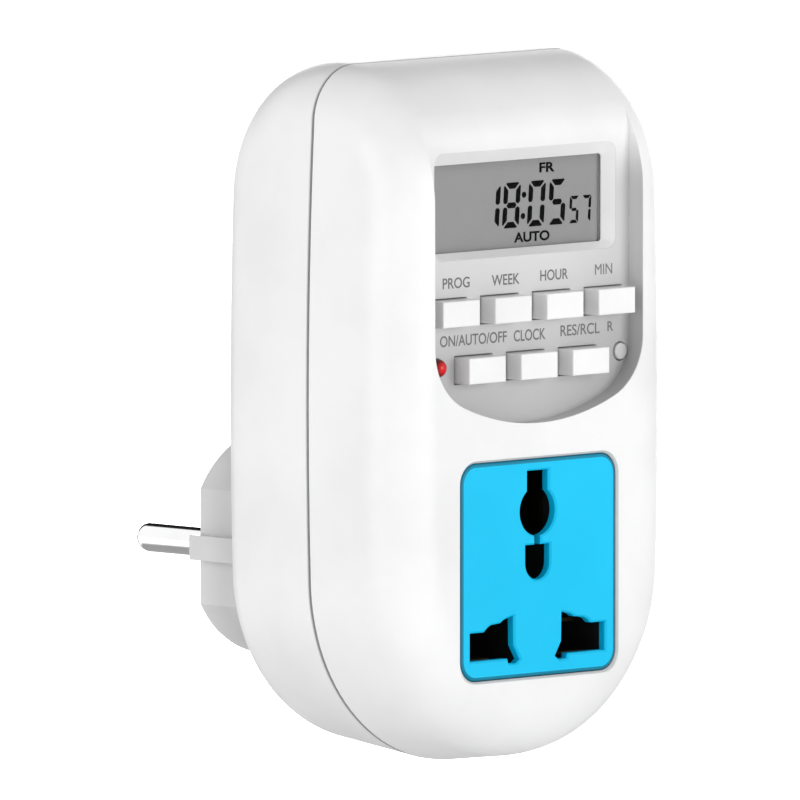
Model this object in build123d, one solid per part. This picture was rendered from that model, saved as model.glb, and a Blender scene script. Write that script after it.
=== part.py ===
from build123d import *
from functools import cache
import math
import os

# Plug-in timer switch with a universal outlet on its front, every piece a separate solid.
# Millimetres. X runs to the right as the front is looked at, +Y points at the wall, +Z is up.
# The origin is the middle of the two plug pins, on the end face of the plug boss.

# ---- Body: a rounded box with a full round top, split at a seam ----
body_width = 67.0  # at the seam, its widest
body_height = 114.0
front_depth = 19.4  # seam to front face
rear_depth = 24.75  # seam to the face against the wall
plug_height = 32.7  # lowest point of the body to the pins' centre line
side_bow_radius = 843.0  # the long sides are faintly bowed
side_bow_end = 1.92  # degrees below level where the bow runs into the bottom corner
bottom_corner_radius = 31.4
bottom_corner_end = 77.3  # degrees below level where the corner runs into the base arc
draft = 6.7  # degrees that the sides lean in, from the seam both ways
edge_radius = 9.0
wall = 2.0
seam_groove = 0.45  # shadow gap between the covers
lip_height = 2.2
lip_thickness = 0.9
fit_gap = 0.1  # between pieces that locate each other

# ---- Control panel, sunk into the front ----
panel_half_width = 23.6
panel_depth = 3.3
panel_bottom = 23.0
panel_corner_radius = 10.5
panel_base_radius = 45.0
panel_blend_radius = 8.0  # where the panel runs out into the round top

# ---- Display ----
window_width = 38.2
window_height = 14.2
window_z = 58.05
window_bevel = 1.05
window_side_bevel = 1.5
window_rim_above = 2.1  # the bevel is taller over the window than beside it
window_corner_radius = 1.9
lens_thickness = 0.5
lens_overlap = 1.2
lens_corner = 1.0
glass_thickness = 2.0
glass_corner = 0.4
frame_wall = 1.0
frame_ledge = 1.5  # how far the frame reaches in behind the glass
zebra_height = 1.8
zebra_inset = 2.0  # glass's side to the strip's end

# ---- Push buttons and the lamp ----
button_width = 8.2
button_height = 4.2
button_pitch = 11.75
button_proud = 3.4
button_gap = 0.25
button_flange = 0.6
button_flange_thickness = 1.0
button_edge = 0.25
button_travel = 0.8
button_post_radius = 1.5
row_one_z = 41.6
row_two_z = 32.2
reset_x = 21.5
reset_z = 33.1
reset_radius = 1.35
reset_proud = 0.4
reset_post_radius = 1.0
switch_width = 4.4  # board switch behind each key
switch_height = 1.2
switch_stem_radius = 0.9
switch_stem_height = 0.25
lamp_x = -20.0
lamp_z = 32.8
lamp_radius = 1.5
lamp_proud = 1.65
lamp_collar = 0.35
lamp_collar_height = 1.0

# ---- Outlet plate and its entries ----
plate_width = 35.1
plate_height = 35.1
plate_z = -0.35
plate_corner_radius = 3.4
plate_depth = 3.0  # face to the skirt's back
plate_face = 1.5
plate_skirt = 1.15
plate_sink = 0.25
plate_edge = 0.5
plate_flange = 0.8
opening_chamfer = 0.4
entry_chamfer = 0.3
earth_z = 8.75
earth_hole_radius = 4.0
earth_slot_width = 4.7
earth_slot_top = 15.35
earth_link_width = 1.3
earth_foot_top = 3.35
earth_foot_bottom = -2.35
earth_foot_width = 5.5
line_z = -12.4  # middle of the live and neutral slots
line_outer_x = 15.3
line_slot_height = 4.6
line_roof_rise = 2.25  # the slot's roof climbs in steps towards the middle
line_toe_drop = 0.9  # and its toe dips under the sill

# ---- Outlet carrier and contacts ----
carrier_depth = 18.0
carrier_wall = 1.6
carrier_margin = 0.2  # carrier's edge outside the plate's
ear_setback = 5.0  # plate back to the ears that the screws clamp
ear_thickness = 2.0
chamber_gap = 0.6  # round an entry, or round an earth leaf
contact_thickness = 0.6
contact_setback = 1.0  # plate back to the leaves
contact_depth = 13.0
contact_tail = 3.5
contact_tail_width = 5.4
contact_tail_x = 13.0
line_leaf_inset = 0.3  # entry's outer end to the leaf
line_leaf_width = 7.7
earth_leaf_height = 9.1

# ---- Plug ----
boss_length = 18.5
boss_radius = 18.3
boss_flat_x = 15.7
boss_rib_height = 4.0
boss_edge = 0.6
boss_end_wall = 2.5
pin_spacing = 19.0
pin_diameter = 4.8
pin_length = 19.5
pin_neck_radius = 2.6  # the pin is a little thicker through the end wall
pin_flange_radius = 3.6
pin_flange_thickness = 1.5
pin_tail_radius = 1.6
pin_tail_show = 5.0  # stands out behind the pin carrier
pin_carrier_thickness = 7.0
earth_channel_width = 7.4
earth_channel_depth = 2.8
earth_channel_end = 1.0  # boss's end face to the channel's end wall
earth_clip_width = 6.4
earth_clip_thickness = 0.8
earth_clip_sink = 1.0  # top of the clip's bow under the boss's round
earth_clip_tab = 2.2  # reaches into the boss
earth_strap_width = 6.0
earth_link_strip_width = 4.4

# ---- Boards ----
board_thickness = 1.4
board_corner = 2.0
hole_gap = 0.2  # round a screw or a post that passes through
control_board_gap = 3.75  # panel back to board face
control_board_bottom = 24.0
control_board_top = 71.5
control_board_margin = 2.1  # screw to the board's side
power_board_gap = 2.6  # wall of the rear cover to board back
power_board_bottom = 23.5
power_board_top = 63.0
power_board_margin = 3.0

# ---- Parts on the control board ----
chip_z = 37.25
chip_width = 10.0
chip_thickness = 1.5
chip_standoff = 0.2
chip_legs = 8  # on each side
chip_leg_pitch = 1.1
chip_leg_reach = 1.2
chip_leg_width = 0.4
chip_leg_thickness = 0.5
crystal_x = 7.25
crystal_z = 47.7
crystal_radius = 1.2
crystal_length = 6.5
cell_x = -14.5
cell_z = 34.25
cell_radius = 6.0
cell_thickness = 5.2
cell_tab_width = 3.0
cell_tab_length = 16.0
cell_tab_thickness = 0.3

# ---- Parts on the power board: x and the height over the board's lower edge ----
relay_x = 8.25
relay_rise = 13.5
relay_width = 15.5
relay_height = 19.0
relay_depth = 15.3
film_x = -11.2
film_rise = 8.25
film_width = 18.0
film_height = 8.5
film_depth = 14.5
large_can_x = -8.5
large_can_rise = 19.5
large_can_radius = 4.0
large_can_length = 12.0
small_can_x = 3.0
small_can_rise = 27.2
small_can_radius = 3.6
small_can_length = 11.0
varistor_x = -17.75
varistor_rise = 15.9
varistor_radius = 3.2
varistor_thickness = 3.5
varistor_legs = 6.0
fuse_x = -9.5
fuse_rise = 27.5
fuse_radius = 2.0
fuse_length = 11.0
diode_x = 11.0
diode_rise = 28.5
diode_pitch = 2.9
diode_radius = 1.3
diode_length = 5.0
transistor_x = 16.8
transistor_rises = (30.5, 36.5)
transistor_radius = 2.3
transistor_flat = 1.5  # its middle line to its flat side
transistor_height = 5.0
transistor_legs = 2.0
transistor_leg_pitch = 1.27
resistor_x = -11.75
resistor_rises = (33.5, 36.9)
resistor_radius = 1.1
resistor_length = 6.5
part_edge = 0.5  # moulded edges of the larger parts
lead_radius = 0.35
lead_inset = 0.9
lead_gap = 0.2  # under a part that lies on the board

# ---- Fasteners ----
case_screw_x = 20.0
case_screw_top_z = 46.5
case_screw_low_z = -8.0
case_post_radius = 3.5
case_front_post_radius = 1.9  # slim, to pass through the control board
case_low_post_radius = 2.5
case_head_radius = 2.2
case_shank_radius = 1.1
case_floor = 3.0
case_thread = 7.0
screw_head = 1.6
screw_slot = 0.6
small_post_radius = 2.0
outlet_post_radius = 2.3
power_post_radius = 2.4
small_head_radius = 1.8
small_shank_radius = 0.9
board_screw_low_z = 27.0
board_screw_top_z = 68.5
board_thread = 3.2
power_screw_x = 22.5
power_screw_low_z = 27.0
power_screw_top_z = 58.5
power_thread = 2.0
outlet_screw_z = 8.0
screw_cover = 0.7  # end face left over the pin carrier's screws
thread_end_gap = 0.8  # screw's tip to the bottom of its hole
thread_gap = 0.05
post_gap = 0.2  # post to the piece that it stands beside

# ---- Wires ----
wire_radius = 1.2
thin_wire_radius = 0.8
wire_landing = 1.7  # board's lower edge to the wire
live_in_reach = 17.5
live_out_x = 16.0
neutral_reach = 8.5
out_reach = 6.1  # contact's tail to the wire's bend
tap_reach = 3.6
bend_share = 0.45  # of the shorter run, taken by a bend
ribbon_width = 10.0
ribbon_thickness = 0.9
ribbon_bend = 3.0
ribbon_control_z = 63.5
ribbon_power_z = 59.0
header_height = 2.6
header_width = 3.0
header_margin = 0.5

# ---- Places that follow from the sizes above ----
rear_y = -boss_length
seam_y = rear_y - rear_depth
front_y = seam_y - front_depth
dome_radius = (front_depth + rear_depth) / 2
dome_y = rear_y - dome_radius
bottom_z = -plug_height
top_z = bottom_z + body_height
dome_z = top_z - dome_radius
inside_rear_y = rear_y - wall
inside_front_y = front_y + wall
case_meet_y = seam_y - lip_height
panel_y = front_y + panel_depth
panel_back_y = panel_y + wall
lens_back_y = panel_back_y + lens_thickness
glass_y = lens_back_y + fit_gap / 2
glass_back_y = glass_y + glass_thickness
glass_width = window_width + 2 * lens_overlap
glass_height = window_height + 2 * lens_overlap
frame_half_width = glass_width / 2 + fit_gap + frame_wall
frame_half_height = glass_height / 2 + fit_gap + frame_wall
control_y = panel_back_y + control_board_gap
control_back_y = control_y + board_thickness
power_back_y = inside_rear_y - power_board_gap
power_y = power_back_y - board_thickness
key_back_y = panel_back_y + fit_gap / 2
key_end_y = control_y - switch_height - switch_stem_height - button_travel - fit_gap
plate_y = front_y + plate_sink
plate_face_back_y = plate_y + plate_face
plate_back_y = plate_y + plate_depth
carrier_back_y = plate_back_y + carrier_depth
chamber_back_y = carrier_back_y - carrier_wall
carrier_half_width = plate_width / 2 + carrier_margin
ear_y = plate_back_y + ear_setback
ear_back_y = ear_y + ear_thickness
leaf_y = plate_back_y + contact_setback
bridge_y = plate_back_y + contact_depth
bridge_back_y = bridge_y + contact_thickness
tail_y = carrier_back_y + contact_tail
line_roof_z = line_z + line_slot_height / 2
line_sill_z = line_z - line_slot_height / 2
pin_x = pin_spacing / 2
pin_radius = pin_diameter / 2
pin_carrier_back_y = -boss_end_wall - pin_carrier_thickness
tail_end_y = pin_carrier_back_y - pin_tail_show
earth_floor = boss_radius - earth_channel_depth
earth_floor_inside = earth_floor - wall
earth_channel_start_y = rear_y + wall
earth_slot_y = earth_channel_start_y + earth_clip_thickness
carrier_screw_z = earth_floor_inside - 2.5 * small_head_radius
side_post_x = carrier_half_width + post_gap + case_post_radius
board_screw_x = frame_half_width + 1.5 * small_post_radius
control_board_width = 2 * (board_screw_x + control_board_margin)
power_board_width = 2 * (power_screw_x + power_board_margin)
landing_z = power_board_bottom + wire_landing
thick_wire_x = contact_tail_x + contact_tail_width / 2 - wire_radius
thin_wire_x = contact_tail_x - contact_tail_width / 2 + thin_wire_radius
cut = 1.0  # how far a cutting solid runs past what it cuts


# ---- Small makers ----
def box(x_low, x_high, y_low, y_high, z_low, z_high):
    """A block between two corners."""
    middle = ((x_low + x_high) / 2, (y_low + y_high) / 2, (z_low + z_high) / 2)
    return Pos(*middle) * Box(x_high - x_low, y_high - y_low, z_high - z_low)


def slab(sketch, y_low, y_high):
    """A sketch in X and Z, given thickness along Y."""
    return extrude(Plane.XZ.offset(-y_high) * sketch, amount=y_high - y_low)


def prism(sketch, x_low, x_high):
    """A sketch in Y and Z, given thickness along X."""
    return extrude(Plane.YZ.offset(x_low) * sketch, amount=x_high - x_low)


def rod(x, z, radius, y_low, y_high):
    """A round bar along Y."""
    return slab(Pos(x, z) * Circle(radius), y_low, y_high)


def bar_x(y, z, radius, x, length):
    """A round bar along X, centred on x."""
    return prism(Pos(y, z) * Circle(radius), x - length / 2, x + length / 2)


def pad(width, height, z, corner, y_low, y_high):
    """A block with rounded corners, centred on X."""
    return slab(Pos(0, z) * RectangleRounded(width, height, corner), y_low, y_high)


def front_edges(solid):
    """Edges of a solid's foremost face."""
    return solid.faces().sort_by(Axis.Y)[0].edges()


def wire_tube(points, radius):
    """A round wire along straight runs joined by arcs."""
    corners = list(zip(points, points[1:], points[2:]))
    reaches = [bend_share * min(math.dist(a, b), math.dist(b, c)) for a, b, c in corners]
    turns = [math.radians((Vector(b) - Vector(a)).get_angle(Vector(c) - Vector(b))) for a, b, c in corners]
    path = FilletPolyline(points, radius=[reach / math.tan(turn / 2) for reach, turn in zip(reaches, turns)])
    start = Plane(origin=path @ 0, z_dir=path % 0)
    return sweep(start * Circle(radius), path=path)


def screw(x, z, head_radius, shank_radius, seat_y, length, side):
    """A pan-head screw on Y: its head on side of seat_y, its shank the other way."""
    top_y = seat_y + side * screw_head
    head = rod(x, z, head_radius, *sorted((seat_y, top_y)))
    shank = rod(x, z, shank_radius, *sorted((seat_y, seat_y - side * length)))
    half = screw_slot / 2
    slot_y = sorted((top_y, top_y - side * screw_slot))
    slot = box(x - head_radius, x + head_radius, *slot_y, z - half, z + half)
    return head + shank - slot


def group(solids):
    """Separate solids that share one node."""
    return Compound(children=list(solids))


# ---- Body shape ----
def body_outline(inset):
    """Front outline in X and Z, moved in by inset. The top stays square and over-long."""
    start = math.radians(side_bow_end)
    turn = math.radians(bottom_corner_end)
    bow_x = body_width / 2 - side_bow_radius
    corner_x = bow_x + (side_bow_radius - bottom_corner_radius) * math.cos(start)
    base_radius = bottom_corner_radius + corner_x / math.cos(turn)
    base_z = bottom_z + base_radius
    corner_z = base_z - corner_x * math.tan(turn)
    bow_z = corner_z + (side_bow_radius - bottom_corner_radius) * math.sin(start)
    side_radius = side_bow_radius - inset
    rise = math.degrees(math.asin((top_z + wall - bow_z) / side_radius))
    corner_turn = bottom_corner_end - side_bow_end
    small = bottom_corner_radius - inset
    right = CenterArc((bow_x, bow_z), side_radius, -side_bow_end, side_bow_end + rise)
    left = CenterArc((-bow_x, bow_z), side_radius, 180 - rise, rise + side_bow_end)
    left_corner = CenterArc((-corner_x, corner_z), small, 180 + side_bow_end, corner_turn)
    base = CenterArc((0, base_z), base_radius - inset, 180 + bottom_corner_end, 180 - 2 * bottom_corner_end)
    right_corner = CenterArc((corner_x, corner_z), small, -bottom_corner_end, corner_turn)
    top = Line(right @ 1, left @ 0)
    return make_face([right, top, left, left_corner, base, right_corner])


def half_depth(side, inset):
    """Seam to the front (side -1) or to the wall (side 1), less the inset."""
    return (front_depth if side < 0 else rear_depth) - inset


def side_profile(side, inset):
    """Side view in Y and Z from the seam to the front (side -1) or the wall (side 1)."""
    radius = dome_radius - inset
    end_y = seam_y + side * half_depth(side, inset)
    low = bottom_z - wall
    seam_top = dome_z + math.sqrt(radius**2 - (seam_y - dome_y) ** 2)
    reach = radius * math.sqrt(0.5)
    dome = ThreePointArc((end_y, dome_z), (dome_y + side * reach, dome_z + reach), (seam_y, seam_top))
    rest = Polyline((seam_y, seam_top), (seam_y, low), (end_y, low), (end_y, dome_z))
    return make_face([dome, rest])


def is_crown(face):
    """True for the flat end and the round top, which the sides meet at an edge."""
    normal = face.normal_at()
    return abs(normal.X) < 0.01 and normal.Z > -0.01 and abs(face.center().Y - seam_y) > 0.01


def on_rim(edge):
    """True for an edge that is rounded: not on the seam, and not where the flat runs into the round top."""
    middle = edge.center()
    across = abs(middle.X) < 1 and middle.Z > dome_z - 1
    return abs(middle.Y - seam_y) > 0.01 and not across


@cache
def half_body(side, inset):
    """Half of the body as a full solid with its edges rounded."""
    depth = half_depth(side, inset)
    lean = depth * math.tan(math.radians(draft))
    seam_face = Plane.XZ.offset(-seam_y) * body_outline(inset)
    end_face = Plane.XZ.offset(-(seam_y + side * depth)) * body_outline(inset + lean)
    block = loft([seam_face, end_face], ruled=True)
    solid = block & prism(side_profile(side, inset), -body_width, body_width)
    crown = [face for face in solid.faces() if is_crown(face)]
    rim = [edge for face in crown for edge in face.edges() if on_rim(edge)]
    return fillet(rim, radius=edge_radius - inset)


# ---- Places of the posts ----
def case_posts():
    """X and Z of the case screws."""
    high = [(side * case_screw_x, case_screw_top_z) for side in (-1, 1)]
    return high + [(side * side_post_x, case_screw_low_z) for side in (-1, 1)]


def board_posts():
    """X and Z of the control board's screws."""
    return [(side * board_screw_x, z) for side in (-1, 1) for z in (board_screw_low_z, board_screw_top_z)]


def power_posts():
    """X and Z of the power board's screws."""
    return [(side * power_screw_x, z) for side in (-1, 1) for z in (power_screw_low_z, power_screw_top_z)]


def outlet_posts():
    """X and Z of the outlet carrier's screws."""
    return [(side * side_post_x, outlet_screw_z) for side in (-1, 1)]


def button_places():
    """Name, X and Z of each push button."""
    row_one = [("prog", -1.5), ("week", -0.5), ("hour", 0.5), ("minute", 1.5)]
    row_two = [("mode", -1), ("clock", 0), ("recall", 1)]
    places = [(name, step * button_pitch, row_one_z) for name, step in row_one]
    return places + [(name, step * button_pitch, row_two_z) for name, step in row_two]


# ---- Front cover ----
def recess_outline(grow):
    """Outline of the sunk panel in X and Z, grown outwards. It runs past the top."""
    corner_x = panel_half_width - panel_corner_radius
    base_z = panel_bottom + panel_base_radius
    corner_z = base_z - math.sqrt((panel_base_radius - panel_corner_radius) ** 2 - corner_x**2)
    turn = math.degrees(math.atan2(base_z - corner_z, corner_x))
    corner_radius = panel_corner_radius + grow
    right = CenterArc((corner_x, corner_z), corner_radius, -turn, turn)
    left = CenterArc((-corner_x, corner_z), corner_radius, 180, turn)
    base = CenterArc((0, base_z), panel_base_radius + grow, 180 + turn, 180 - 2 * turn)
    top = top_z + wall
    sides = Polyline(right @ 1, ((right @ 1).X, top), ((left @ 0).X, top), left @ 0)
    return make_face([right, sides, left, base])


def recess_profile(grow):
    """Space in front of the panel in Y and Z, with its back moved towards the wall by grow.

    The panel runs up into an arc, which touches the round top from inside."""
    blend_radius = panel_blend_radius - grow
    blend_y = panel_y + panel_blend_radius
    reach = dome_radius - panel_blend_radius
    blend_z = dome_z + math.sqrt(reach**2 - (dome_y - blend_y) ** 2)
    away = math.atan2(blend_z - dome_z, blend_y - dome_y)
    half_way = (math.pi + away) / 2
    tangent = (blend_y + blend_radius * math.cos(away), blend_z + blend_radius * math.sin(away))
    arc_middle = (blend_y + blend_radius * math.cos(half_way), blend_z + blend_radius * math.sin(half_way))
    arc = ThreePointArc((panel_y + grow, blend_z), arc_middle, tangent)
    top = top_z + wall
    above = (tangent[0] - (top - tangent[1]) * math.tan(away), top)
    far = front_y - wall
    rest = Polyline(tangent, above, (far, top), (far, bottom_z), (panel_y + grow, bottom_z), arc @ 0)
    return make_face([arc, rest])


def recess(grow):
    """The panel's sunk space, or with grow the space plus its wall."""
    outline = slab(recess_outline(grow), front_y - wall, seam_y)
    return outline & prism(recess_profile(grow), -body_width, body_width)


def window_bore():
    """The bevelled opening for the display, from the panel's face to its back."""
    inner = RectangleRounded(window_width, window_height, window_bevel / 2)
    outer_height = window_height + window_bevel + window_rim_above
    outer = RectangleRounded(window_width + 2 * window_side_bevel, outer_height, window_corner_radius)
    outer_z = window_z + (window_rim_above - window_bevel) / 2
    back = Plane.XZ.offset(-panel_back_y) * (Pos(0, window_z) * inner)
    front = Plane.XZ.offset(-panel_y) * (Pos(0, outer_z) * outer)
    return loft([front, back], ruled=True)


def opening_bevel():
    """The slope that leads into the outlet plate's opening."""
    width = plate_width + 2 * fit_gap
    height = plate_height + 2 * fit_gap
    spread = 2 * opening_chamfer
    outer = RectangleRounded(width + spread, height + spread, plate_corner_radius + opening_chamfer)
    inner = RectangleRounded(width, height, plate_corner_radius)
    front = Plane.XZ.offset(-front_y) * (Pos(0, plate_z) * outer)
    back = Plane.XZ.offset(-(front_y + opening_chamfer)) * (Pos(0, plate_z) * inner)
    return loft([front, back], ruled=True)


def front_posts():
    """Each post behind the front: X, Z, radius, end and the radius of its screw."""
    posts = [(x, z, case_front_post_radius if z > panel_bottom else case_low_post_radius, case_meet_y,
              case_shank_radius) for x, z in case_posts()]
    posts += [(x, z, small_post_radius, control_y, small_shank_radius) for x, z in board_posts()]
    return posts + [(x, z, outlet_post_radius, ear_y, small_shank_radius) for x, z in outlet_posts()]


def thread_length(end_y):
    """How deep the screw goes into the post that ends at end_y."""
    return {case_meet_y: case_thread, control_y: board_thread, ear_y: ear_setback}[end_y]


def front_cover():
    """Front shell with the sunk panel, the display window and the outlet opening."""
    outer = half_body(-1, 0)
    cover = outer - half_body(-1, wall)
    cover += outer & recess(wall)
    for x, z, radius, end_y, screw_radius in front_posts():
        cover += outer & rod(x, z, radius, front_y + wall / 2, end_y)
    cover -= recess(0)
    cover -= window_bore()
    for name, x, z in button_places():
        hole = Rectangle(button_width + 2 * button_gap, button_height + 2 * button_gap)
        cover -= slab(Pos(x, z) * hole, panel_y - cut, panel_back_y + cut)
    cover -= rod(reset_x, reset_z, reset_radius + button_gap, panel_y - cut, panel_back_y + cut)
    cover -= rod(lamp_x, lamp_z, lamp_radius + fit_gap, panel_y - cut, panel_back_y + cut)
    plate_hole = (plate_width + 2 * fit_gap, plate_height + 2 * fit_gap)
    cover -= pad(*plate_hole, plate_z, plate_corner_radius, front_y - cut, inside_front_y + cut)
    cover -= opening_bevel()
    for x, z, radius, end_y, screw_radius in front_posts():
        depth = thread_length(end_y) + thread_end_gap
        cover -= rod(x, z, screw_radius + thread_gap, end_y - depth, end_y + cut)
    lip = half_body(-1, wall - lip_thickness - fit_gap)
    cover -= lip & box(-body_width, body_width, seam_y - lip_height - fit_gap, seam_y, bottom_z, top_z)
    groove = box(-body_width, body_width, seam_y - seam_groove, seam_y + cut, bottom_z - cut, top_z + cut)
    return cover - groove


# ---- Rear cover ----
def boss_outline(inset):
    """Plug boss seen from its end: a circle with two flats, each with a rib left standing on it."""
    disc = Circle(boss_radius - inset)
    body = disc & Rectangle(2 * (boss_flat_x - inset), 2 * boss_radius)
    rib_height = boss_rib_height - 2 * inset
    return body + (disc & Rectangle(2 * boss_radius, rib_height)) if rib_height > 0 else body


def earth_block(side, width, bottom, top, y_low, y_high):
    """A block on the boss's upper (side 1) or lower (side -1) edge."""
    return box(-width / 2, width / 2, y_low, y_high, *sorted((side * bottom, side * top)))


def cut_earth_channel(cover, side):
    """The cover with a floor, a channel and a slot for one earth clip."""
    end_y = -earth_channel_end
    wide = earth_channel_width + 2 * wall
    floor = earth_block(side, wide, earth_floor_inside, boss_radius, inside_rear_y, end_y)
    cover += floor & slab(Circle(boss_radius), inside_rear_y, end_y)
    top = boss_radius + cut
    cover -= earth_block(side, earth_channel_width, earth_floor, top, earth_channel_start_y, cut)
    slot_end_y = earth_channel_start_y + 2 * earth_clip_thickness
    slot_width = earth_clip_width + 2 * fit_gap
    return cover - earth_block(side, slot_width, earth_floor_inside - cut, earth_floor + cut,
                               earth_channel_start_y, slot_end_y)


def case_post(x, z):
    """Rear half of a case post, cleared from the boss's bore."""
    post = rod(x, z, case_post_radius, case_meet_y, rear_y - wall / 2)
    return post - slab(Circle(boss_radius - wall), case_meet_y, rear_y)


def seam_lip():
    """Ring on the rear cover that reaches into the front cover."""
    band = box(-body_width, body_width, seam_y - lip_height, seam_y, bottom_z, top_z)
    return (half_body(-1, wall - lip_thickness) - half_body(-1, wall)) & band


def rear_cover():
    """Rear shell with the hollow plug boss, the screw posts and the locating lip."""
    cover = half_body(1, 0) - half_body(1, wall)
    boss = slab(boss_outline(0), rear_y - wall / 2, 0)
    cover += chamfer(boss.faces().sort_by(Axis.Y)[-1].edges(), length=boss_edge)
    cover -= slab(boss_outline(wall), inside_rear_y - wall, -boss_end_wall)
    for side in (-1, 1):
        cover = cut_earth_channel(cover, side)
        cover -= rod(side * pin_x, 0, pin_neck_radius + thread_gap, -boss_end_wall - cut, cut)
        thread_radius = small_shank_radius + thread_gap
        cover -= rod(0, side * carrier_screw_z, thread_radius, -boss_end_wall - cut, -screw_cover)
    floor_y = case_meet_y + case_floor
    for x, z in case_posts():
        cover += case_post(x, z)
        cover -= rod(x, z, case_head_radius + fit_gap, floor_y, rear_y + cut)
        cover -= rod(x, z, case_shank_radius + thread_gap, case_meet_y - cut, floor_y + cut)
    for x, z in power_posts():
        cover += rod(x, z, power_post_radius, power_back_y, rear_y - wall / 2)
        cover -= rod(x, z, small_shank_radius + thread_gap, power_back_y - cut, inside_rear_y)
    return cover + seam_lip()


# ---- Outlet ----
def earth_entry():
    """Earth entry in X and Z: a slot over a round hole, linked to a rounded foot."""
    slot_height = earth_slot_top - earth_z
    foot_radius = earth_foot_width / 2
    foot_centre = earth_foot_bottom + foot_radius
    foot_height = earth_foot_top - foot_centre
    link_height = earth_z - foot_centre
    entry = Pos(0, earth_z + slot_height / 2) * Rectangle(earth_slot_width, slot_height)
    entry += Pos(0, earth_z) * Circle(earth_hole_radius)
    entry += Pos(0, foot_centre + link_height / 2) * Rectangle(earth_link_width, link_height)
    entry += Pos(0, foot_centre + foot_height / 2) * Rectangle(earth_foot_width, foot_height)
    return entry + Pos(0, foot_centre) * Circle(foot_radius)


def line_entry(side):
    """Live (side 1) or neutral (side -1) entry: a flat slot with a stepped roof and a slanted toe.

    Each point is a distance in from the slot's outer end, and a height over the roof or the sill."""
    steps = [(0, 0), (3.2, 0), (4.0, 0.7), (4.8, 1.05), (6.9, 1.25), (7.7, 1.75), (9.8, line_roof_rise)]
    toe = [(9.9, 2.05), (11.3, -0.25), (10.4, -line_toe_drop), (8.7, -0.8), (8.5, 0), (0, 0)]
    outline = [(side * (line_outer_x - inward), line_roof_z + rise) for inward, rise in steps]
    outline += [(side * (line_outer_x - inward), line_sill_z + rise) for inward, rise in toe]
    return make_face(Polyline(*outline, close=True))


def plate_inside(gap):
    """The room inside the plate's skirt, or with a gap what fills it."""
    width = plate_width - 2 * (plate_skirt + gap)
    height = plate_height - 2 * (plate_skirt + gap)
    return pad(width, height, plate_z, plate_corner_radius - plate_skirt, plate_face_back_y, plate_back_y)


def socket_plate():
    """Coloured face plate of the outlet, a shallow cap held from behind by its flange."""
    plate = pad(plate_width, plate_height, plate_z, plate_corner_radius, plate_y, plate_back_y)
    plate = fillet(front_edges(plate), radius=plate_edge)
    flange_width = plate_width + 2 * plate_flange
    flange_height = plate_height + 2 * plate_flange
    flange = pad(flange_width, flange_height, plate_z, plate_corner_radius, inside_front_y, plate_back_y)
    plate += flange & half_body(-1, wall + fit_gap)
    plate -= plate_inside(0)
    for entry in (earth_entry(), line_entry(-1), line_entry(1)):
        plate -= slab(entry, plate_y - cut, plate_back_y + cut)
    front = plate.faces().filter_by(Axis.Y).sort_by(Axis.Y)[0]
    rims = [edge for wire in front.inner_wires() for edge in wire.edges()]
    return chamfer(rims, length=entry_chamfer)


def line_chamber(side):
    """Room in the carrier behind a live or neutral entry, with its contact."""
    inner = line_outer_x - contact_tail_x / 2 - contact_tail_width
    outer = line_outer_x + chamber_gap
    low = line_sill_z - contact_thickness - line_toe_drop - fit_gap
    high = line_roof_z + line_roof_rise + chamber_gap
    return box(*sorted((side * inner, side * outer)), plate_face_back_y - cut, chamber_back_y, low, high)


def earth_chamber():
    """Room in the carrier behind the earth entry, with its contact."""
    half = earth_hole_radius + contact_thickness + chamber_gap
    low = earth_foot_bottom - chamber_gap
    high = earth_slot_top + chamber_gap
    return box(-half, half, plate_face_back_y - cut, chamber_back_y, low, high)


def tail_box(x, z, gap):
    """A contact's tail through the carrier's back, with gap all round."""
    half_width = contact_tail_width / 2 + gap
    half_height = contact_thickness / 2 + gap
    return box(x - half_width, x + half_width, bridge_y, tail_y, z - half_height, z + half_height)


def carrier_ear(x, z):
    """Lug on the carrier's side for its screw."""
    outer = math.copysign(abs(x) + outlet_post_radius, x)
    half = outlet_post_radius + hole_gap
    return box(*sorted((0, outer)), ear_y, ear_back_y, z - half, z + half)


def socket_carrier():
    """Dark block behind the plate with a chamber for each contact and two screwed ears."""
    height = plate_height + 2 * carrier_margin
    block = pad(2 * carrier_half_width, height, plate_z, plate_corner_radius, plate_back_y, carrier_back_y)
    for x, z in outlet_posts():
        block += carrier_ear(x, z)
    block = block & half_body(-1, wall + fit_gap) + half_body(1, wall + fit_gap)
    block += plate_inside(fit_gap)
    for chamber in (line_chamber(-1), line_chamber(1), earth_chamber()):
        block -= chamber
    for x, z in ((-contact_tail_x, line_z), (contact_tail_x, line_z), (0, earth_z)):
        block -= tail_box(x, z, fit_gap)
    for x, z in outlet_posts():
        block -= rod(x, z, small_shank_radius + hole_gap, ear_y - cut, ear_back_y + cut)
    return block


def line_contact(side):
    """Spring contact of the live or neutral entry: a leaf over and a leaf under the slot."""
    outer = line_outer_x - line_leaf_inset
    reach = sorted((side * (outer - line_leaf_width), side * outer))
    near = line_slot_height / 2 + fit_gap
    contact = box(*reach, bridge_y, bridge_back_y, line_z - near, line_z + near)
    for edge in (-1, 1):
        leaf = sorted((line_z + edge * near, line_z + edge * (near + contact_thickness)))
        contact += box(*reach, leaf_y, bridge_back_y, *leaf)
    return contact + tail_box(side * contact_tail_x, line_z, 0)


def contact_live():
    """Live contact of the outlet."""
    return line_contact(1)


def contact_neutral():
    """Neutral contact of the outlet."""
    return line_contact(-1)


def contact_earth():
    """Earth contact of the outlet: a leaf on each side of the entry."""
    near = earth_hole_radius + fit_gap
    low = earth_z - earth_hole_radius
    high = low + earth_leaf_height
    contact = box(-near, near, bridge_y, bridge_back_y, low, high)
    for side in (-1, 1):
        leaf = sorted((side * near, side * (near + contact_thickness)))
        contact += box(*leaf, leaf_y, bridge_back_y, low, high)
    return contact + tail_box(0, earth_z, 0)


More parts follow.
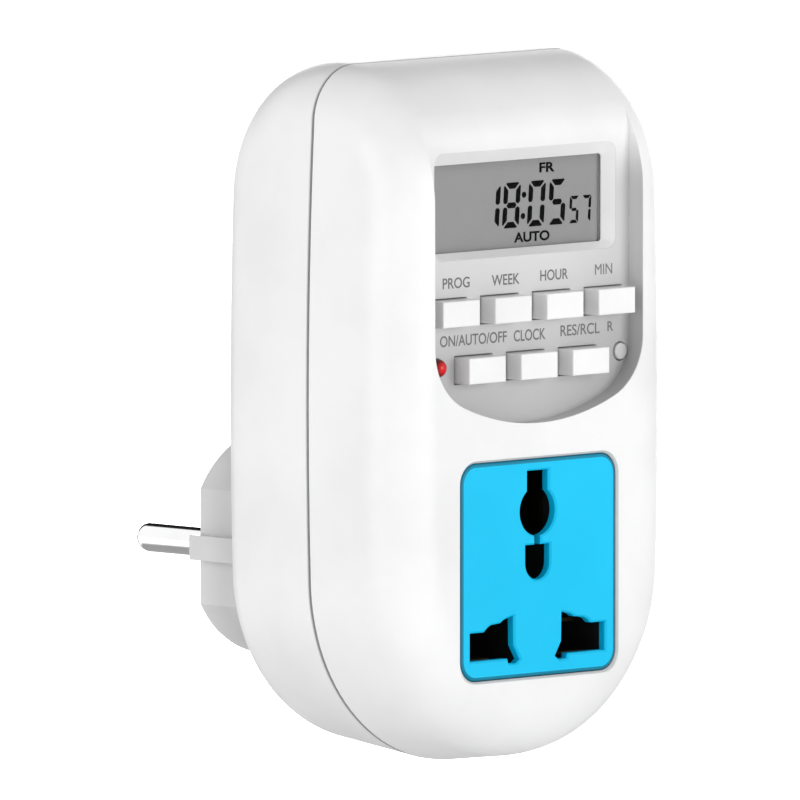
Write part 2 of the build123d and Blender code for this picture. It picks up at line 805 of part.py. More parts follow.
def outlet_screws():
    """Two screws that hold the outlet carrier to the front cover."""
    length = ear_thickness + ear_setback
    return group(screw(x, z, small_head_radius, small_shank_radius, ear_back_y, length, 1)
                 for x, z in outlet_posts())


# ---- Display ----
def display_window():
    """Clear lens behind the bevelled opening."""
    return pad(glass_width, glass_height, window_z, lens_corner, panel_back_y, lens_back_y)


def lcd_panel():
    """Liquid-crystal glass."""
    return pad(glass_width, glass_height, window_z, glass_corner, glass_y, glass_back_y)


def lcd_frame():
    """Frame that locates the lens and the glass, stands on the control board and clears the panel's back."""
    frame = pad(2 * frame_half_width, 2 * frame_half_height, window_z, lens_corner, panel_back_y, control_y)
    pocket = (glass_width + 2 * fit_gap, glass_height + 2 * fit_gap)
    frame -= pad(*pocket, window_z, glass_corner, panel_back_y - cut, glass_back_y)
    low = window_z - glass_height / 2 - fit_gap
    high = window_z + glass_height / 2 - frame_ledge
    half = glass_width / 2 - frame_ledge
    frame -= box(-half, half, glass_back_y - cut, control_y + cut, low, high)
    return frame - recess(wall)


def zebra_strip():
    """Rubber connector between the glass and the control board."""
    half = glass_width / 2 - zebra_inset
    low = window_z - glass_height / 2 + fit_gap
    return box(-half, half, glass_back_y, control_y, low, low + zebra_height)


# ---- Buttons ----
def push_button(x, z):
    """Rectangular key with a flange behind the panel and a post over its switch."""
    half_width = button_width / 2
    half_height = button_height / 2
    front_y_of_key = panel_y - button_proud
    key = box(x - half_width, x + half_width, front_y_of_key, key_back_y, z - half_height, z + half_height)
    key = fillet(front_edges(key), radius=button_edge)
    half_width += button_flange
    half_height += button_flange
    back = key_back_y + button_flange_thickness
    key += box(x - half_width, x + half_width, key_back_y, back, z - half_height, z + half_height)
    return key + rod(x, z, button_post_radius, back, key_end_y)


def reset_button():
    """Small round key for a pen's tip."""
    key = rod(reset_x, reset_z, reset_radius, panel_y - reset_proud, key_back_y)
    key = fillet(front_edges(key), radius=button_edge)
    back = key_back_y + button_flange_thickness
    key += rod(reset_x, reset_z, reset_radius + button_flange, key_back_y, back)
    return key + rod(reset_x, reset_z, reset_post_radius, back, key_end_y)


def status_led():
    """Round-topped lamp beside the lower keys."""
    round_y = panel_y - lamp_proud + lamp_radius
    lamp = rod(lamp_x, lamp_z, lamp_radius, round_y, control_y)
    lamp += Pos(lamp_x, round_y, lamp_z) * Sphere(lamp_radius)
    return lamp + rod(lamp_x, lamp_z, lamp_radius + lamp_collar, control_y - lamp_collar_height, control_y)


def tact_switch(x, z):
    """One board switch with its stem."""
    half = switch_width / 2
    top_y = control_y - switch_height
    body = box(x - half, x + half, top_y, control_y, z - half, z + half)
    return body + rod(x, z, switch_stem_radius, top_y - switch_stem_height, top_y)


def tact_switches():
    """A small switch on the control board behind each key."""
    places = [(x, z) for name, x, z in button_places()] + [(reset_x, reset_z)]
    return group(tact_switch(x, z) for x, z in places)


# ---- Control board ----
def bored_board(width, bottom, top, y_low, y_high, holes):
    """A board with a round hole of each given X, Z and radius."""
    board = pad(width, top - bottom, (top + bottom) / 2, board_corner, y_low, y_high)
    for x, z, radius in holes:
        board -= rod(x, z, radius + hole_gap, y_low - cut, y_high + cut)
    return board


def control_board():
    """Board behind the panel, with holes for its screws and the case posts."""
    holes = [(x, z, small_shank_radius) for x, z in board_posts()]
    holes += [(x, z, case_front_post_radius) for x, z in case_posts()]
    return bored_board(control_board_width, control_board_bottom, control_board_top, control_y,
                       control_back_y, holes)


def controller_chip():
    """Clock chip with its rows of legs."""
    half = chip_width / 2
    low = control_back_y + chip_standoff
    chip = box(-half, half, low, low + chip_thickness, chip_z - half, chip_z + half)
    for step in range(chip_legs):
        z = chip_z + (step - (chip_legs - 1) / 2) * chip_leg_pitch
        leg_z = (z - chip_leg_width / 2, z + chip_leg_width / 2)
        for side in (-1, 1):
            reach = sorted((side * half, side * (half + chip_leg_reach)))
            chip += box(*reach, control_back_y, control_back_y + chip_leg_thickness, *leg_z)
    return chip


def crystal():
    """Watch crystal in its metal can, on a bed of glue."""
    y = control_back_y + crystal_radius
    can = bar_x(y, crystal_z, crystal_radius, crystal_x, crystal_length)
    half_bed = crystal_length / 2 - crystal_radius / 2
    half_height = 0.7 * crystal_radius
    return can + box(crystal_x - half_bed, crystal_x + half_bed, control_back_y, y,
                     crystal_z - half_height, crystal_z + half_height)


def backup_battery():
    """Rechargeable button cell that keeps the clock through a power cut, on its welded tab."""
    tab_y = control_back_y + cell_tab_thickness
    half_width = cell_tab_width / 2
    half_length = cell_tab_length / 2
    cell = rod(cell_x, cell_z, cell_radius, tab_y, tab_y + cell_thickness)
    return cell + box(cell_x - half_width, cell_x + half_width, control_back_y, tab_y,
                      cell_z - half_length, cell_z + half_length)


def board_screws():
    """Four screws that hold the control board to the front cover."""
    length = board_thickness + board_thread
    return group(screw(x, z, small_head_radius, small_shank_radius, control_back_y, length, 1)
                 for x, z in board_posts())


# ---- Power board and what stands on it ----
def power_board():
    """Board in the rear cover, with holes for its screws and the case posts."""
    holes = [(x, z, small_shank_radius) for x, z in power_posts()]
    holes += [(x, z, case_post_radius) for x, z in case_posts()]
    return bored_board(power_board_width, power_board_bottom, power_board_top, power_y, power_back_y, holes)


def standing_block(x, rise, width, height, depth):
    """A moulded block that stands on the power board."""
    z = power_board_bottom + rise
    block = box(x - width / 2, x + width / 2, power_y - depth, power_y, z - height / 2, z + height / 2)
    return fillet(block.edges().filter_by(Axis.Y), radius=part_edge)


def relay():
    """Relay that switches the outlet."""
    return standing_block(relay_x, relay_rise, relay_width, relay_height, relay_depth)


def film_capacitor():
    """Mains dropper capacitor in its box."""
    return standing_block(film_x, film_rise, film_width, film_height, film_depth)


def can_capacitor(x, rise, radius, length):
    """An electrolytic can that stands on the power board."""
    can = rod(x, power_board_bottom + rise, radius, power_y - length, power_y)
    return fillet(front_edges(can), radius=part_edge)


def smoothing_capacitors():
    """Two electrolytic capacitors."""
    large = can_capacitor(large_can_x, large_can_rise, large_can_radius, large_can_length)
    return group([large, can_capacitor(small_can_x, small_can_rise, small_can_radius, small_can_length)])


def lying_part(x, rise, radius, length, gap):
    """A round part held over the power board by two legs."""
    z = power_board_bottom + rise
    axis_y = power_y - radius - gap
    body = bar_x(axis_y, z, radius, x, length)
    for side in (-1, 1):
        body += rod(x + side * (length / 2 - lead_inset), z, lead_radius, axis_y, power_y)
    return body


def varistor():
    """Surge-absorbing disc on two legs."""
    gap = varistor_legs - varistor_radius
    return lying_part(varistor_x, varistor_rise, varistor_radius, varistor_thickness, gap)


def fuse_resistor():
    """Fusible resistor in series with the mains dropper."""
    return lying_part(fuse_x, fuse_rise, fuse_radius, fuse_length, lead_gap)


def rectifier_diodes():
    """Four diodes of the rectifier."""
    rises = [diode_rise + diode_pitch * step for step in range(4)]
    return group(lying_part(diode_x, rise, diode_radius, diode_length, lead_gap) for rise in rises)


def board_resistors():
    """Two small resistors."""
    return group(lying_part(resistor_x, rise, resistor_radius, resistor_length, lead_gap)
                 for rise in resistor_rises)


def transistor(z):
    """A small transistor with one flat side, on three legs."""
    width = transistor_radius + transistor_flat
    shift = (transistor_radius - transistor_flat) / 2
    outline = Circle(transistor_radius) & Pos(shift, 0) * Rectangle(width, 2 * transistor_radius)
    foot_y = power_y - transistor_legs
    body = slab(Pos(transistor_x, z) * outline, foot_y - transistor_height, foot_y)
    for step in (-1, 0, 1):
        body += rod(transistor_x, z + step * transistor_leg_pitch, lead_radius, foot_y, power_y)
    return body


def driver_transistors():
    """Two small transistors that drive the relay coil."""
    return group(transistor(power_board_bottom + rise) for rise in transistor_rises)


def power_board_screws():
    """Four screws that hold the power board to the rear cover."""
    length = board_thickness + power_thread
    return group(screw(x, z, small_head_radius, small_shank_radius, power_y, length, -1)
                 for x, z in power_posts())


# ---- Ribbon between the boards ----
def ribbon_headers():
    """A header on each board for the ribbon."""
    half = ribbon_width / 2 + header_margin
    spans = [(control_back_y, control_back_y + header_height, ribbon_control_z)]
    spans += [(power_y - header_height, power_y, ribbon_power_z)]
    tall = header_width / 2
    return group(box(-half, half, low, high, z - tall, z + tall) for low, high, z in spans)


def ribbon_cable():
    """Flat ribbon between the headers."""
    start = control_back_y + header_height
    end = power_y - header_height
    straight = (end - start) / 4
    knees = [(start, ribbon_control_z), (start + straight, ribbon_control_z)]
    knees += [(end - straight, ribbon_power_z), (end, ribbon_power_z)]
    path = FilletPolyline(*knees, radius=ribbon_bend)
    return prism(trace(path, ribbon_thickness), -ribbon_width / 2, ribbon_width / 2)


# ---- Plug ----
def plug_pin(x):
    """Round pin with a dome end, a flange behind the end wall and a solder tail."""
    round_end = pin_length - pin_radius
    flange_back = -boss_end_wall - pin_flange_thickness
    pin = rod(x, 0, pin_radius, 0, round_end) + Pos(x, round_end, 0) * Sphere(pin_radius)
    pin += rod(x, 0, pin_neck_radius, -boss_end_wall, 0)
    pin += rod(x, 0, pin_flange_radius, flange_back, -boss_end_wall)
    return pin + rod(x, 0, pin_tail_radius, tail_end_y, flange_back)


def pin_carrier():
    """Insulating block inside the boss that holds the pins' flanges against its end wall."""
    inset = wall + fit_gap
    outline = boss_outline(inset)
    floors = Rectangle(earth_channel_width + 2 * inset, 2 * boss_radius)
    outline = outline - floors + (outline & Rectangle(2 * boss_radius, 2 * (earth_floor_inside - fit_gap)))
    block = slab(outline, pin_carrier_back_y, -boss_end_wall)
    flange_back = -boss_end_wall - pin_flange_thickness - thread_gap
    start = pin_carrier_back_y - cut
    for side in (-1, 1):
        block -= rod(side * pin_x, 0, pin_flange_radius + thread_gap, flange_back, cut)
        block -= rod(side * pin_x, 0, pin_tail_radius + thread_gap, start, flange_back + cut)
        block -= rod(0, side * carrier_screw_z, small_shank_radius + hole_gap, start, 0)
    return block


def carrier_screws():
    """Two screws that hold the pin carrier to the boss."""
    length = pin_carrier_thickness + boss_end_wall - screw_cover - fit_gap
    return group(screw(0, side * carrier_screw_z, small_head_radius, small_shank_radius, pin_carrier_back_y,
                       length, -1) for side in (-1, 1))


def earth_clip(side):
    """Bowed earth strip in the channel on the boss, with a tab that reaches inside."""
    tab_end = earth_floor_inside - earth_clip_tab
    rest = earth_floor + earth_clip_thickness
    crown = boss_radius - earth_clip_sink
    tip = (-earth_channel_end - fit_gap, earth_floor + earth_clip_thickness / 2)
    foot = (2 * tip[0] - earth_clip_thickness, rest)
    points = [(earth_slot_y, tab_end), (earth_slot_y, rest), (earth_slot_y / 2, crown), foot, tip]
    path = FilletPolyline(*[(y, side * z) for y, z in points], radius=[1.0, 6.0, 1.0])
    return prism(trace(path, earth_clip_thickness), -earth_clip_width / 2, earth_clip_width / 2)


def earth_clip_top():
    """Upper earth clip."""
    return earth_clip(1)


def earth_clip_bottom():
    """Lower earth clip."""
    return earth_clip(-1)


def earth_strap():
    """Strip that joins both earth clips to the outlet's earth contact."""
    back = earth_slot_y - earth_clip_thickness / 2
    front = back - earth_clip_thickness
    reach = earth_floor_inside - fit_gap
    half = earth_strap_width / 2
    link = earth_link_strip_width / 2
    low = earth_z + contact_thickness / 2
    strap = box(-half, half, front, back, -reach, reach)
    return strap + box(-link, link, carrier_back_y + fit_gap, back, low, low + earth_clip_thickness)


# ---- Wires ----
def live_in_wire():
    """From the live pin to the power board."""
    bend_y = tail_end_y - live_in_reach
    points = [(pin_x, tail_end_y, 0), (pin_x, bend_y, 0)]
    return wire_tube(points + [(pin_x, bend_y, landing_z), (pin_x, power_y, landing_z)], wire_radius)


def live_out_wire():
    """From the relay's side of the power board to the live contact."""
    bend_y = tail_y + out_reach
    points = [(live_out_x, power_y, landing_z), (live_out_x, bend_y, landing_z)]
    return wire_tube(points + [(thick_wire_x, bend_y, line_z), (thick_wire_x, tail_y, line_z)], wire_radius)


def neutral_wire():
    """From the neutral pin straight to the neutral contact."""
    points = [(-pin_x, tail_end_y, 0), (-pin_x, tail_end_y - neutral_reach, 0)]
    points += [(-thick_wire_x, tail_y + out_reach, line_z), (-thick_wire_x, tail_y, line_z)]
    return wire_tube(points, wire_radius)


def neutral_tap_wire():
    """Thin wire from the neutral contact to the power board."""
    bend_y = tail_y + tap_reach
    points = [(-thin_wire_x, tail_y, line_z), (-thin_wire_x, bend_y, line_z)]
    points += [(-thin_wire_x, bend_y, landing_z), (-thin_wire_x, power_y, landing_z)]
    return wire_tube(points, thin_wire_radius)


def case_screws():
    """Four screws that close the case from the wall side."""
    seat = case_meet_y + case_floor
    length = case_floor + case_thread
    return group(screw(x, z, case_head_radius, case_shank_radius, seat, length, 1) for x, z in case_posts())


def pieces():
    """Every node by name."""
    makers = [front_cover, rear_cover, socket_plate, socket_carrier]
    makers += [contact_live, contact_neutral, contact_earth, display_window, lcd_panel, lcd_frame]
    makers += [zebra_strip, reset_button, status_led, tact_switches]
    makers += [control_board, controller_chip, crystal, backup_battery, power_board, relay, film_capacitor]
    makers += [smoothing_capacitors, varistor, fuse_resistor, rectifier_diodes, driver_transistors]
    makers += [board_resistors, ribbon_headers, ribbon_cable, pin_carrier, earth_clip_top, earth_clip_bottom]
    makers += [earth_strap, live_in_wire, live_out_wire, neutral_wire, neutral_tap_wire]
    makers += [case_screws, board_screws, power_board_screws, outlet_screws, carrier_screws]
    for maker in makers:
        yield maker.__name__, maker()
    for name, x, z in button_places():
        yield f"{name}_button", push_button(x, z)
    for name, x in (("live", pin_x), ("neutral", -pin_x)):
        yield f"plug_pin_{name}", plug_pin(x)


os.makedirs("parts", exist_ok=True)
for node, piece in pieces():
    export_step(piece, f"parts/{node}.step")
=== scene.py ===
"""Looks of a plug-in timer switch: finishes, markings, display segments and a plain studio.

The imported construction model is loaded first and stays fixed. Sizes in this file are millimetres
and pass through MM on their way into Blender, which works in metres.
"""

import logging
import math
from collections.abc import Callable
from dataclasses import dataclass, field
from enum import Enum

import bmesh
import bpy
from mathutils import Matrix, Vector


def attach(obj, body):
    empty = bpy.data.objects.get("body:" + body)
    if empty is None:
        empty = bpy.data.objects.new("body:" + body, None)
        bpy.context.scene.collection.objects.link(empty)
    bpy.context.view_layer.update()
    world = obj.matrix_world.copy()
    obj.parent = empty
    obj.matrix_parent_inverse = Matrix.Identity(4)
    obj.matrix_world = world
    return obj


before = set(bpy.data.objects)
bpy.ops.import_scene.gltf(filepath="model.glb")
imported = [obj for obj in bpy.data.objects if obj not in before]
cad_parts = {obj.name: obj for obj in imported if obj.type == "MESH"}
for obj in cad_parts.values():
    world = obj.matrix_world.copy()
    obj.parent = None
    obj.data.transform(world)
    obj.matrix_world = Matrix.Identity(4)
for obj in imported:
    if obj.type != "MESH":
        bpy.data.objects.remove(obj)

MM = 0.001
log = logging.getLogger("timer_switch")

Colour = tuple[float, float, float]
Pair = tuple[float, float]
Socket = bpy.types.NodeSocket
Inputs = dict[str, object]
BMesh = bmesh.types.BMesh

UPRIGHT = Matrix.Rotation(math.pi / 2, 4, "X")

# Values of a mask or noise that a look is spread over: all, most, and the middle.
ALL = (0.0, 1.0)
MOST = (0.2, 0.8)
MIDDLE = (0.3, 0.7)


class Body(Enum):
    """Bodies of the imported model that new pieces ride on."""

    CASE = "case"


class Axis(Enum):
    """Main directions of the frame, as the index of a coordinate."""

    X = 0
    Y = 1
    Z = 2


def srgb(red: int, green: int, blue: int) -> Colour:
    """Turns an everyday 8-bit colour into the linear one that shaders use.

    Args:
        red, green, blue: channels from 0 to 255.

    Returns:
        The linear colour.
    """

    def linear(channel: int) -> float:
        """One channel, from 0 to 255, made linear."""
        value = channel / 255
        return value / 12.92 if value <= 0.04045 else ((value + 0.055) / 1.055) ** 2.4

    return linear(red), linear(green), linear(blue)


def toned(colour: Colour, share: float) -> Colour:
    """Scales a colour, up to white at most.

    Args:
        colour: the colour.
        share: how much of it there is.

    Returns:
        The scaled colour.
    """
    return tuple(min(1.0, share * channel) for channel in colour)


def add_object(name: str, data: bpy.types.ID) -> bpy.types.Object:
    """Puts an object into the scene.

    Args:
        name: its name.
        data: its mesh, curve, camera or light.

    Returns:
        The object.
    """
    thing = bpy.data.objects.new(name, data)
    bpy.context.scene.collection.objects.link(thing)
    return thing


# ---- shader tools


class ShaderSheet:
    """A node tree that is being filled in, with short calls to add and join nodes."""

    def __init__(self, tree: bpy.types.NodeTree) -> None:
        """Takes the tree to fill.

        Args:
            tree: a material's, world's or group's node tree.
        """
        self.tree = tree

    def add(self, kind: str, inputs: dict | None = None, **settings: object) -> bpy.types.Node:
        """Adds one node.

        Args:
            kind: the node's type name.
            inputs: a value or the output socket to join, by the input's name or number.
            settings: the node's own properties.

        Returns:
            The new node.
        """
        node = self.tree.nodes.new(kind)
        for name, value in settings.items():
            setattr(node, name, value)
        for name, value in (inputs or {}).items():
            self.join(value, node.inputs[name])
        return node

    def join(self, value: object, socket: Socket) -> None:
        """Links an output socket to an input, or sets the input's plain value.

        Args:
            value: an output socket or a plain value.
            socket: the input socket.
        """
        if isinstance(value, Socket):
            self.tree.links.new(value, socket)
        else:
            socket.default_value = value

    def place(self) -> Socket:
        """Gives the shaded point in Object coordinates, which are metres in the frame.

        Returns:
            The point's socket.
        """
        return self.add("ShaderNodeTexCoord").outputs["Object"]

    def split(self, vector: Socket) -> tuple[Socket, ...]:
        """Splits a point or a direction.

        Args:
            vector: its socket.

        Returns:
            The sockets of its X, Y and Z.
        """
        return tuple(self.add("ShaderNodeSeparateXYZ", {0: vector}).outputs)

    def math(self, operation: str, first: object, second: object = 0.0, clamp: bool = False) -> Socket:
        """Adds a Math node.

        Args:
            operation: the node's operation.
            first, second: values or output sockets.
            clamp: whether the result stays between 0 and 1.

        Returns:
            The result's socket.
        """
        sockets = {0: first, 1: second}
        return self.add("ShaderNodeMath", sockets, operation=operation, use_clamp=clamp).outputs[0]

    def product(self, first: object, *others: object) -> Socket:
        """Multiplies numbers, such as masks.

        Args:
            first, others: values or output sockets.

        Returns:
            The product's socket.
        """
        for other in others:
            first = self.math("MULTIPLY", first, other)
        return first

    def span(self, value: object, ends: Pair, results: tuple[object, object] = (0.0, 1.0)) -> Socket:
        """Maps a range smoothly onto another one.

        Args:
            value: the number to map.
            ends: its range.
            results: the range it goes to, as values or output sockets.

        Returns:
            The mapped number's socket.
        """
        sockets = dict(enumerate((value, *ends, *results)))
        return self.add("ShaderNodeMapRange", sockets, interpolation_type="SMOOTHSTEP").outputs[0]

    def ramp(self, value: object, ends: Pair, results: tuple[object, object] = (0.0, 1.0)) -> Socket:
        """Maps a distance as span does, from a range in millimetres.

        Args:
            value: the distance to map.
            ends: its range, in millimetres.
            results: the range it goes to.

        Returns:
            The mapped number's socket.
        """
        return self.span(value, (ends[0] * MM, ends[1] * MM), results)

    def away(self, value: Socket, middle: float = 0.0) -> Socket:
        """Measures how far a coordinate is from a plane.

        Args:
            value: the coordinate.
            middle: the plane, in millimetres.

        Returns:
            The distance's socket.
        """
        return self.math("ABSOLUTE", self.math("SUBTRACT", value, middle * MM))

    def length(self, vector: Socket, share: Colour = (1.0, 1.0, 1.0)) -> Socket:
        """Measures a vector.

        Args:
            vector: its socket.
            share: how much of its X, Y and Z counts.

        Returns:
            The length's socket.
        """
        part = self.add("ShaderNodeVectorMath", {0: vector, 1: share}, operation="MULTIPLY").outputs[0]
        return self.add("ShaderNodeVectorMath", {0: part}, operation="LENGTH").outputs["Value"]

    def square_reach(self, axes: tuple[Socket, ...], middle_z: float, straight: float) -> Socket:
        """Measures how far a point is outside a square that faces the front.

        Args:
            axes: sockets of the point's X, Y and Z.
            middle_z: height of the square's middle, in millimetres.
            straight: half of its side, in millimetres.

        Returns:
            The distance's socket, the same all round a rounded square.
        """
        outside = {}
        for index, side in enumerate((self.away(axes[0]), self.away(axes[2], middle_z))):
            outside[index] = self.math("MAXIMUM", self.math("SUBTRACT", side, straight * MM), 0.0)
        return self.length(self.add("ShaderNodeCombineXYZ", outside).outputs[0])

    def blend(self, factor: object, first: object, second: object, mode: str = "MIX") -> Socket:
        """Mixes two colours.

        Args:
            factor: share of the second colour.
            first, second: colours or output sockets. A number's socket gives a grey.
            mode: how they are mixed.

        Returns:
            The mixed colour's socket.
        """
        node = self.add("ShaderNodeMix", {"Factor": factor}, data_type="RGBA", blend_type=mode)
        for name, value in (("A_Color", first), ("B_Color", second)):
            socket = next(s for s in node.inputs if s.identifier == name)
            self.join(value if isinstance(value, Socket) else (*value, 1.0), socket)
        return next(s for s in node.outputs if s.identifier == "Result_Color")

    def dimmed(self, mask: object, colour: object, left: object) -> Socket:
        """Darkens a colour where a mask says so.

        Args:
            mask: where it is darkened.
            colour: the colour.
            left: how much of it is left there, as a number or a socket.

        Returns:
            The new colour's socket.
        """
        tone = left if isinstance(left, Socket) else (left,) * 3
        return self.blend(mask, colour, self.blend(1.0, colour, tone, "MULTIPLY"))

    def relief(self, height: Socket, depth: float) -> Socket:
        """Makes a relief.

        Args:
            height: its height, from 0 to 1.
            depth: what 1 is, in millimetres.

        Returns:
            The socket of the changed normal.
        """
        return self.add("ShaderNodeBump", {"Height": height, "Distance": depth * MM}).outputs[0]

    def noise(self, vector: Socket, scale: object, detail: float) -> Socket:
        """Adds noise.

        Args:
            vector: where it is read.
            scale: cells to the unit of that vector.
            detail: how many finer layers it has.

        Returns:
            The noise's socket.
        """
        sockets = {"Vector": vector, "Scale": scale, "Detail": detail}
        return self.add("ShaderNodeTexNoise", sockets).outputs[0]


class Effects:
    """Node groups shared by the finishes, each built the first time that it is asked for.

    Attributes:
        STREAKS: handling marks to the metre, along each axis.
        STREAK_EDGE: noise between which a mark starts.
        RUBBED_CLOUD: cloudiness between which the marks show.
        TARNISH_SCALE: dull patches to the metre.
        TARNISH_EDGE: noise between which a patch starts.
    """

    STREAKS = (300.0, 900.0, 120.0)
    STREAK_EDGE = (0.62, 0.74)
    RUBBED_CLOUD = (0.45, 0.7)
    TARNISH_SCALE = 180.0
    TARNISH_EDGE = (0.45, 0.75)

    @staticmethod
    def shared(name: str, inputs: dict[str, float], fill: Callable) -> bpy.types.NodeTree:
        """Finds or makes a node group.

        Args:
            name: the group's name.
            inputs: number inputs with their usual values.
            fill: takes a sheet and the inputs' sockets, and returns the outputs by name.

        Returns:
            The group.
        """
        if name in bpy.data.node_groups:
            return bpy.data.node_groups[name]
        tree = bpy.data.node_groups.new(name, "ShaderNodeTree")
        for label, value in inputs.items():
            socket = tree.interface.new_socket(label, in_out="INPUT", socket_type="NodeSocketFloat")
            socket.default_value = value
        sheet = ShaderSheet(tree)
        results = fill(sheet, sheet.add("NodeGroupInput").outputs)
        for label in results:
            tree.interface.new_socket(label, in_out="OUTPUT", socket_type="NodeSocketFloat")
        sheet.add("NodeGroupOutput", results)
        return tree

    @classmethod
    def moulding(cls) -> bpy.types.NodeTree:
        """Surface of moulded plastic: fine grain, slow cloudiness and faint handling marks.

        Returns:
            A group with outputs Grain, Cloud and Marks.
        """

        def fill(sheet: ShaderSheet, entry: object) -> dict[str, Socket]:
            """Fills in the group."""
            place = sheet.place()
            grain = sheet.noise(place, entry["Grain Scale"], 2.0)
            slow = sheet.noise(place, entry["Cloud Scale"], 4.0)
            streaks = sheet.add("ShaderNodeMapping", {"Vector": place, "Scale": cls.STREAKS})
            rubbed = sheet.span(sheet.noise(streaks.outputs[0], 1.0, 5.0), cls.STREAK_EDGE)
            marks = sheet.product(rubbed, sheet.span(slow, cls.RUBBED_CLOUD))
            return {"Grain": grain, "Cloud": slow, "Marks": marks}

        return cls.shared("moulding", {"Grain Scale": 3000.0, "Cloud Scale": 40.0}, fill)

    @classmethod
    def brushing(cls) -> bpy.types.NodeTree:
        """Fine rings of turned or rolled metal, square to one axis.

        Returns:
            A group with outputs Rings and Tarnish.
        """

        def fill(sheet: ShaderSheet, entry: object) -> dict[str, Socket]:
            """Fills in the group."""
            place = sheet.place()
            scale = sheet.add("ShaderNodeCombineXYZ", {axis.value: entry[axis.value] for axis in Axis})
            sockets = {0: place, 1: scale.outputs[0]}
            stretched = sheet.add("ShaderNodeVectorMath", sockets, operation="MULTIPLY").outputs[0]
            dull = sheet.span(sheet.noise(place, cls.TARNISH_SCALE, 5.0), cls.TARNISH_EDGE)
            return {"Rings": sheet.noise(stretched, 1.0, 3.0), "Tarnish": dull}

        return cls.shared("brushing", {f"Along {axis.name}": 1.0 for axis in Axis}, fill)


def new_material(name: str, paint: Callable) -> bpy.types.Material:
    """Makes an opaque material with one Principled shader.

    Args:
        name: the material's name.
        paint: takes a sheet and returns the shader's inputs by name.

    Returns:
        The material.
    """
    material = bpy.data.materials.new(name)
    material.use_nodes = True
    material.node_tree.nodes.clear()
    sheet = ShaderSheet(material.node_tree)
    shader = sheet.add("ShaderNodeBsdfPrincipled", paint(sheet))
    sheet.add("ShaderNodeOutputMaterial", {"Surface": shader.outputs[0]})
    return material


# ---- finishes


@dataclass(frozen=True)
class Finish:
    """Base of every finish.

    Attributes:
        name: the material's name.
    """

    name: str

    def paint(self, sheet: ShaderSheet) -> Inputs:
        """Works out the Principled shader's inputs.

        Args:
            sheet: the material's sheet.

        Returns:
            Values or output sockets by the inputs' names.
        """
        raise NotImplementedError


@dataclass(frozen=True)
class Plastic(Finish):
    """Moulded plastic, rubber or lacquer.

    Attributes:
        colour: its main colour.
        roughness: gloss of the bare surface.
        grain: depth of the moulded grain in millimetres.
        grain_pitch: size of the grain in millimetres.
        cloud: how far the colour wanders over the piece.
        marks: how much duller handling marks are.
        glow: strength of the light that it gives off.
        shine: specular level, where 0.5 is ordinary plastic.
        drift: how far the roughness wanders over the piece.
        CLOUDED: cloudiness that the colour is spread over.
    """

    CLOUDED = (0.25, 0.75)

    colour: Colour
    roughness: float = 0.38
    grain: float = 0.006
    grain_pitch: float = 0.35
    cloud: float = 0.03
    marks: float = 0.08
    glow: float = 0.0
    shine: float = 0.5
    drift: float = 0.03

    def tinted(self, sheet: ShaderSheet, colour: Socket) -> Socket:
        """Hook for finishes that paint more on the plain colour.

        Args:
            sheet: the material's sheet.
            colour: the colour so far.

        Returns:
            The colour to use.
        """
        return colour

    def paint(self, sheet: ShaderSheet) -> Inputs:
        """Plastic that wanders a little in colour and gloss."""
        pitch = {"Grain Scale": 1.0 / (self.grain_pitch * MM)}
        surface = sheet.add("ShaderNodeGroup", pitch, node_tree=Effects.moulding()).outputs
        shade, light = toned(self.colour, 1 - 2 * self.cloud), toned(self.colour, 1 + self.cloud)
        clouded = sheet.blend(sheet.span(surface["Cloud"], self.CLOUDED), shade, light)
        colour = self.tinted(sheet, clouded)
        gloss = (self.roughness - self.drift, self.roughness + self.drift)
        rubbed = sheet.product(surface["Marks"], self.marks)
        rough = sheet.math("ADD", sheet.span(surface["Cloud"], MOST, gloss), rubbed, clamp=True)
        inputs = {"Base Color": colour, "Roughness": rough, "Specular IOR Level": self.shine}
        if self.grain > 0:
            inputs["Normal"] = sheet.relief(surface["Grain"], self.grain)
        if self.glow > 0:
            inputs |= {"Emission Color": colour, "Emission Strength": self.glow}
        return inputs


@dataclass(frozen=True)
class CasePlastic(Plastic):
    """Case plastic with painted shade along the joint between the two covers.

    Attributes:
        seam_y: the joint's plane, in millimetres.
        seam_edge: distances from it between which the painted shade line ends.
        seam_left: how much of the white is left in it.
    """

    seam_y: float = -43.25
    seam_edge: Pair = (0.2, 0.3)
    seam_left: float = 0.64

    def tinted(self, sheet: ShaderSheet, colour: Socket) -> Socket:
        """Paints shade along the joint line."""
        _, y, _ = sheet.split(sheet.place())
        # Painted shade in the joint between the two covers.
        line = sheet.ramp(sheet.away(y, self.seam_y), self.seam_edge, (1.0, 0.0))
        return sheet.dimmed(line, colour, self.seam_left)


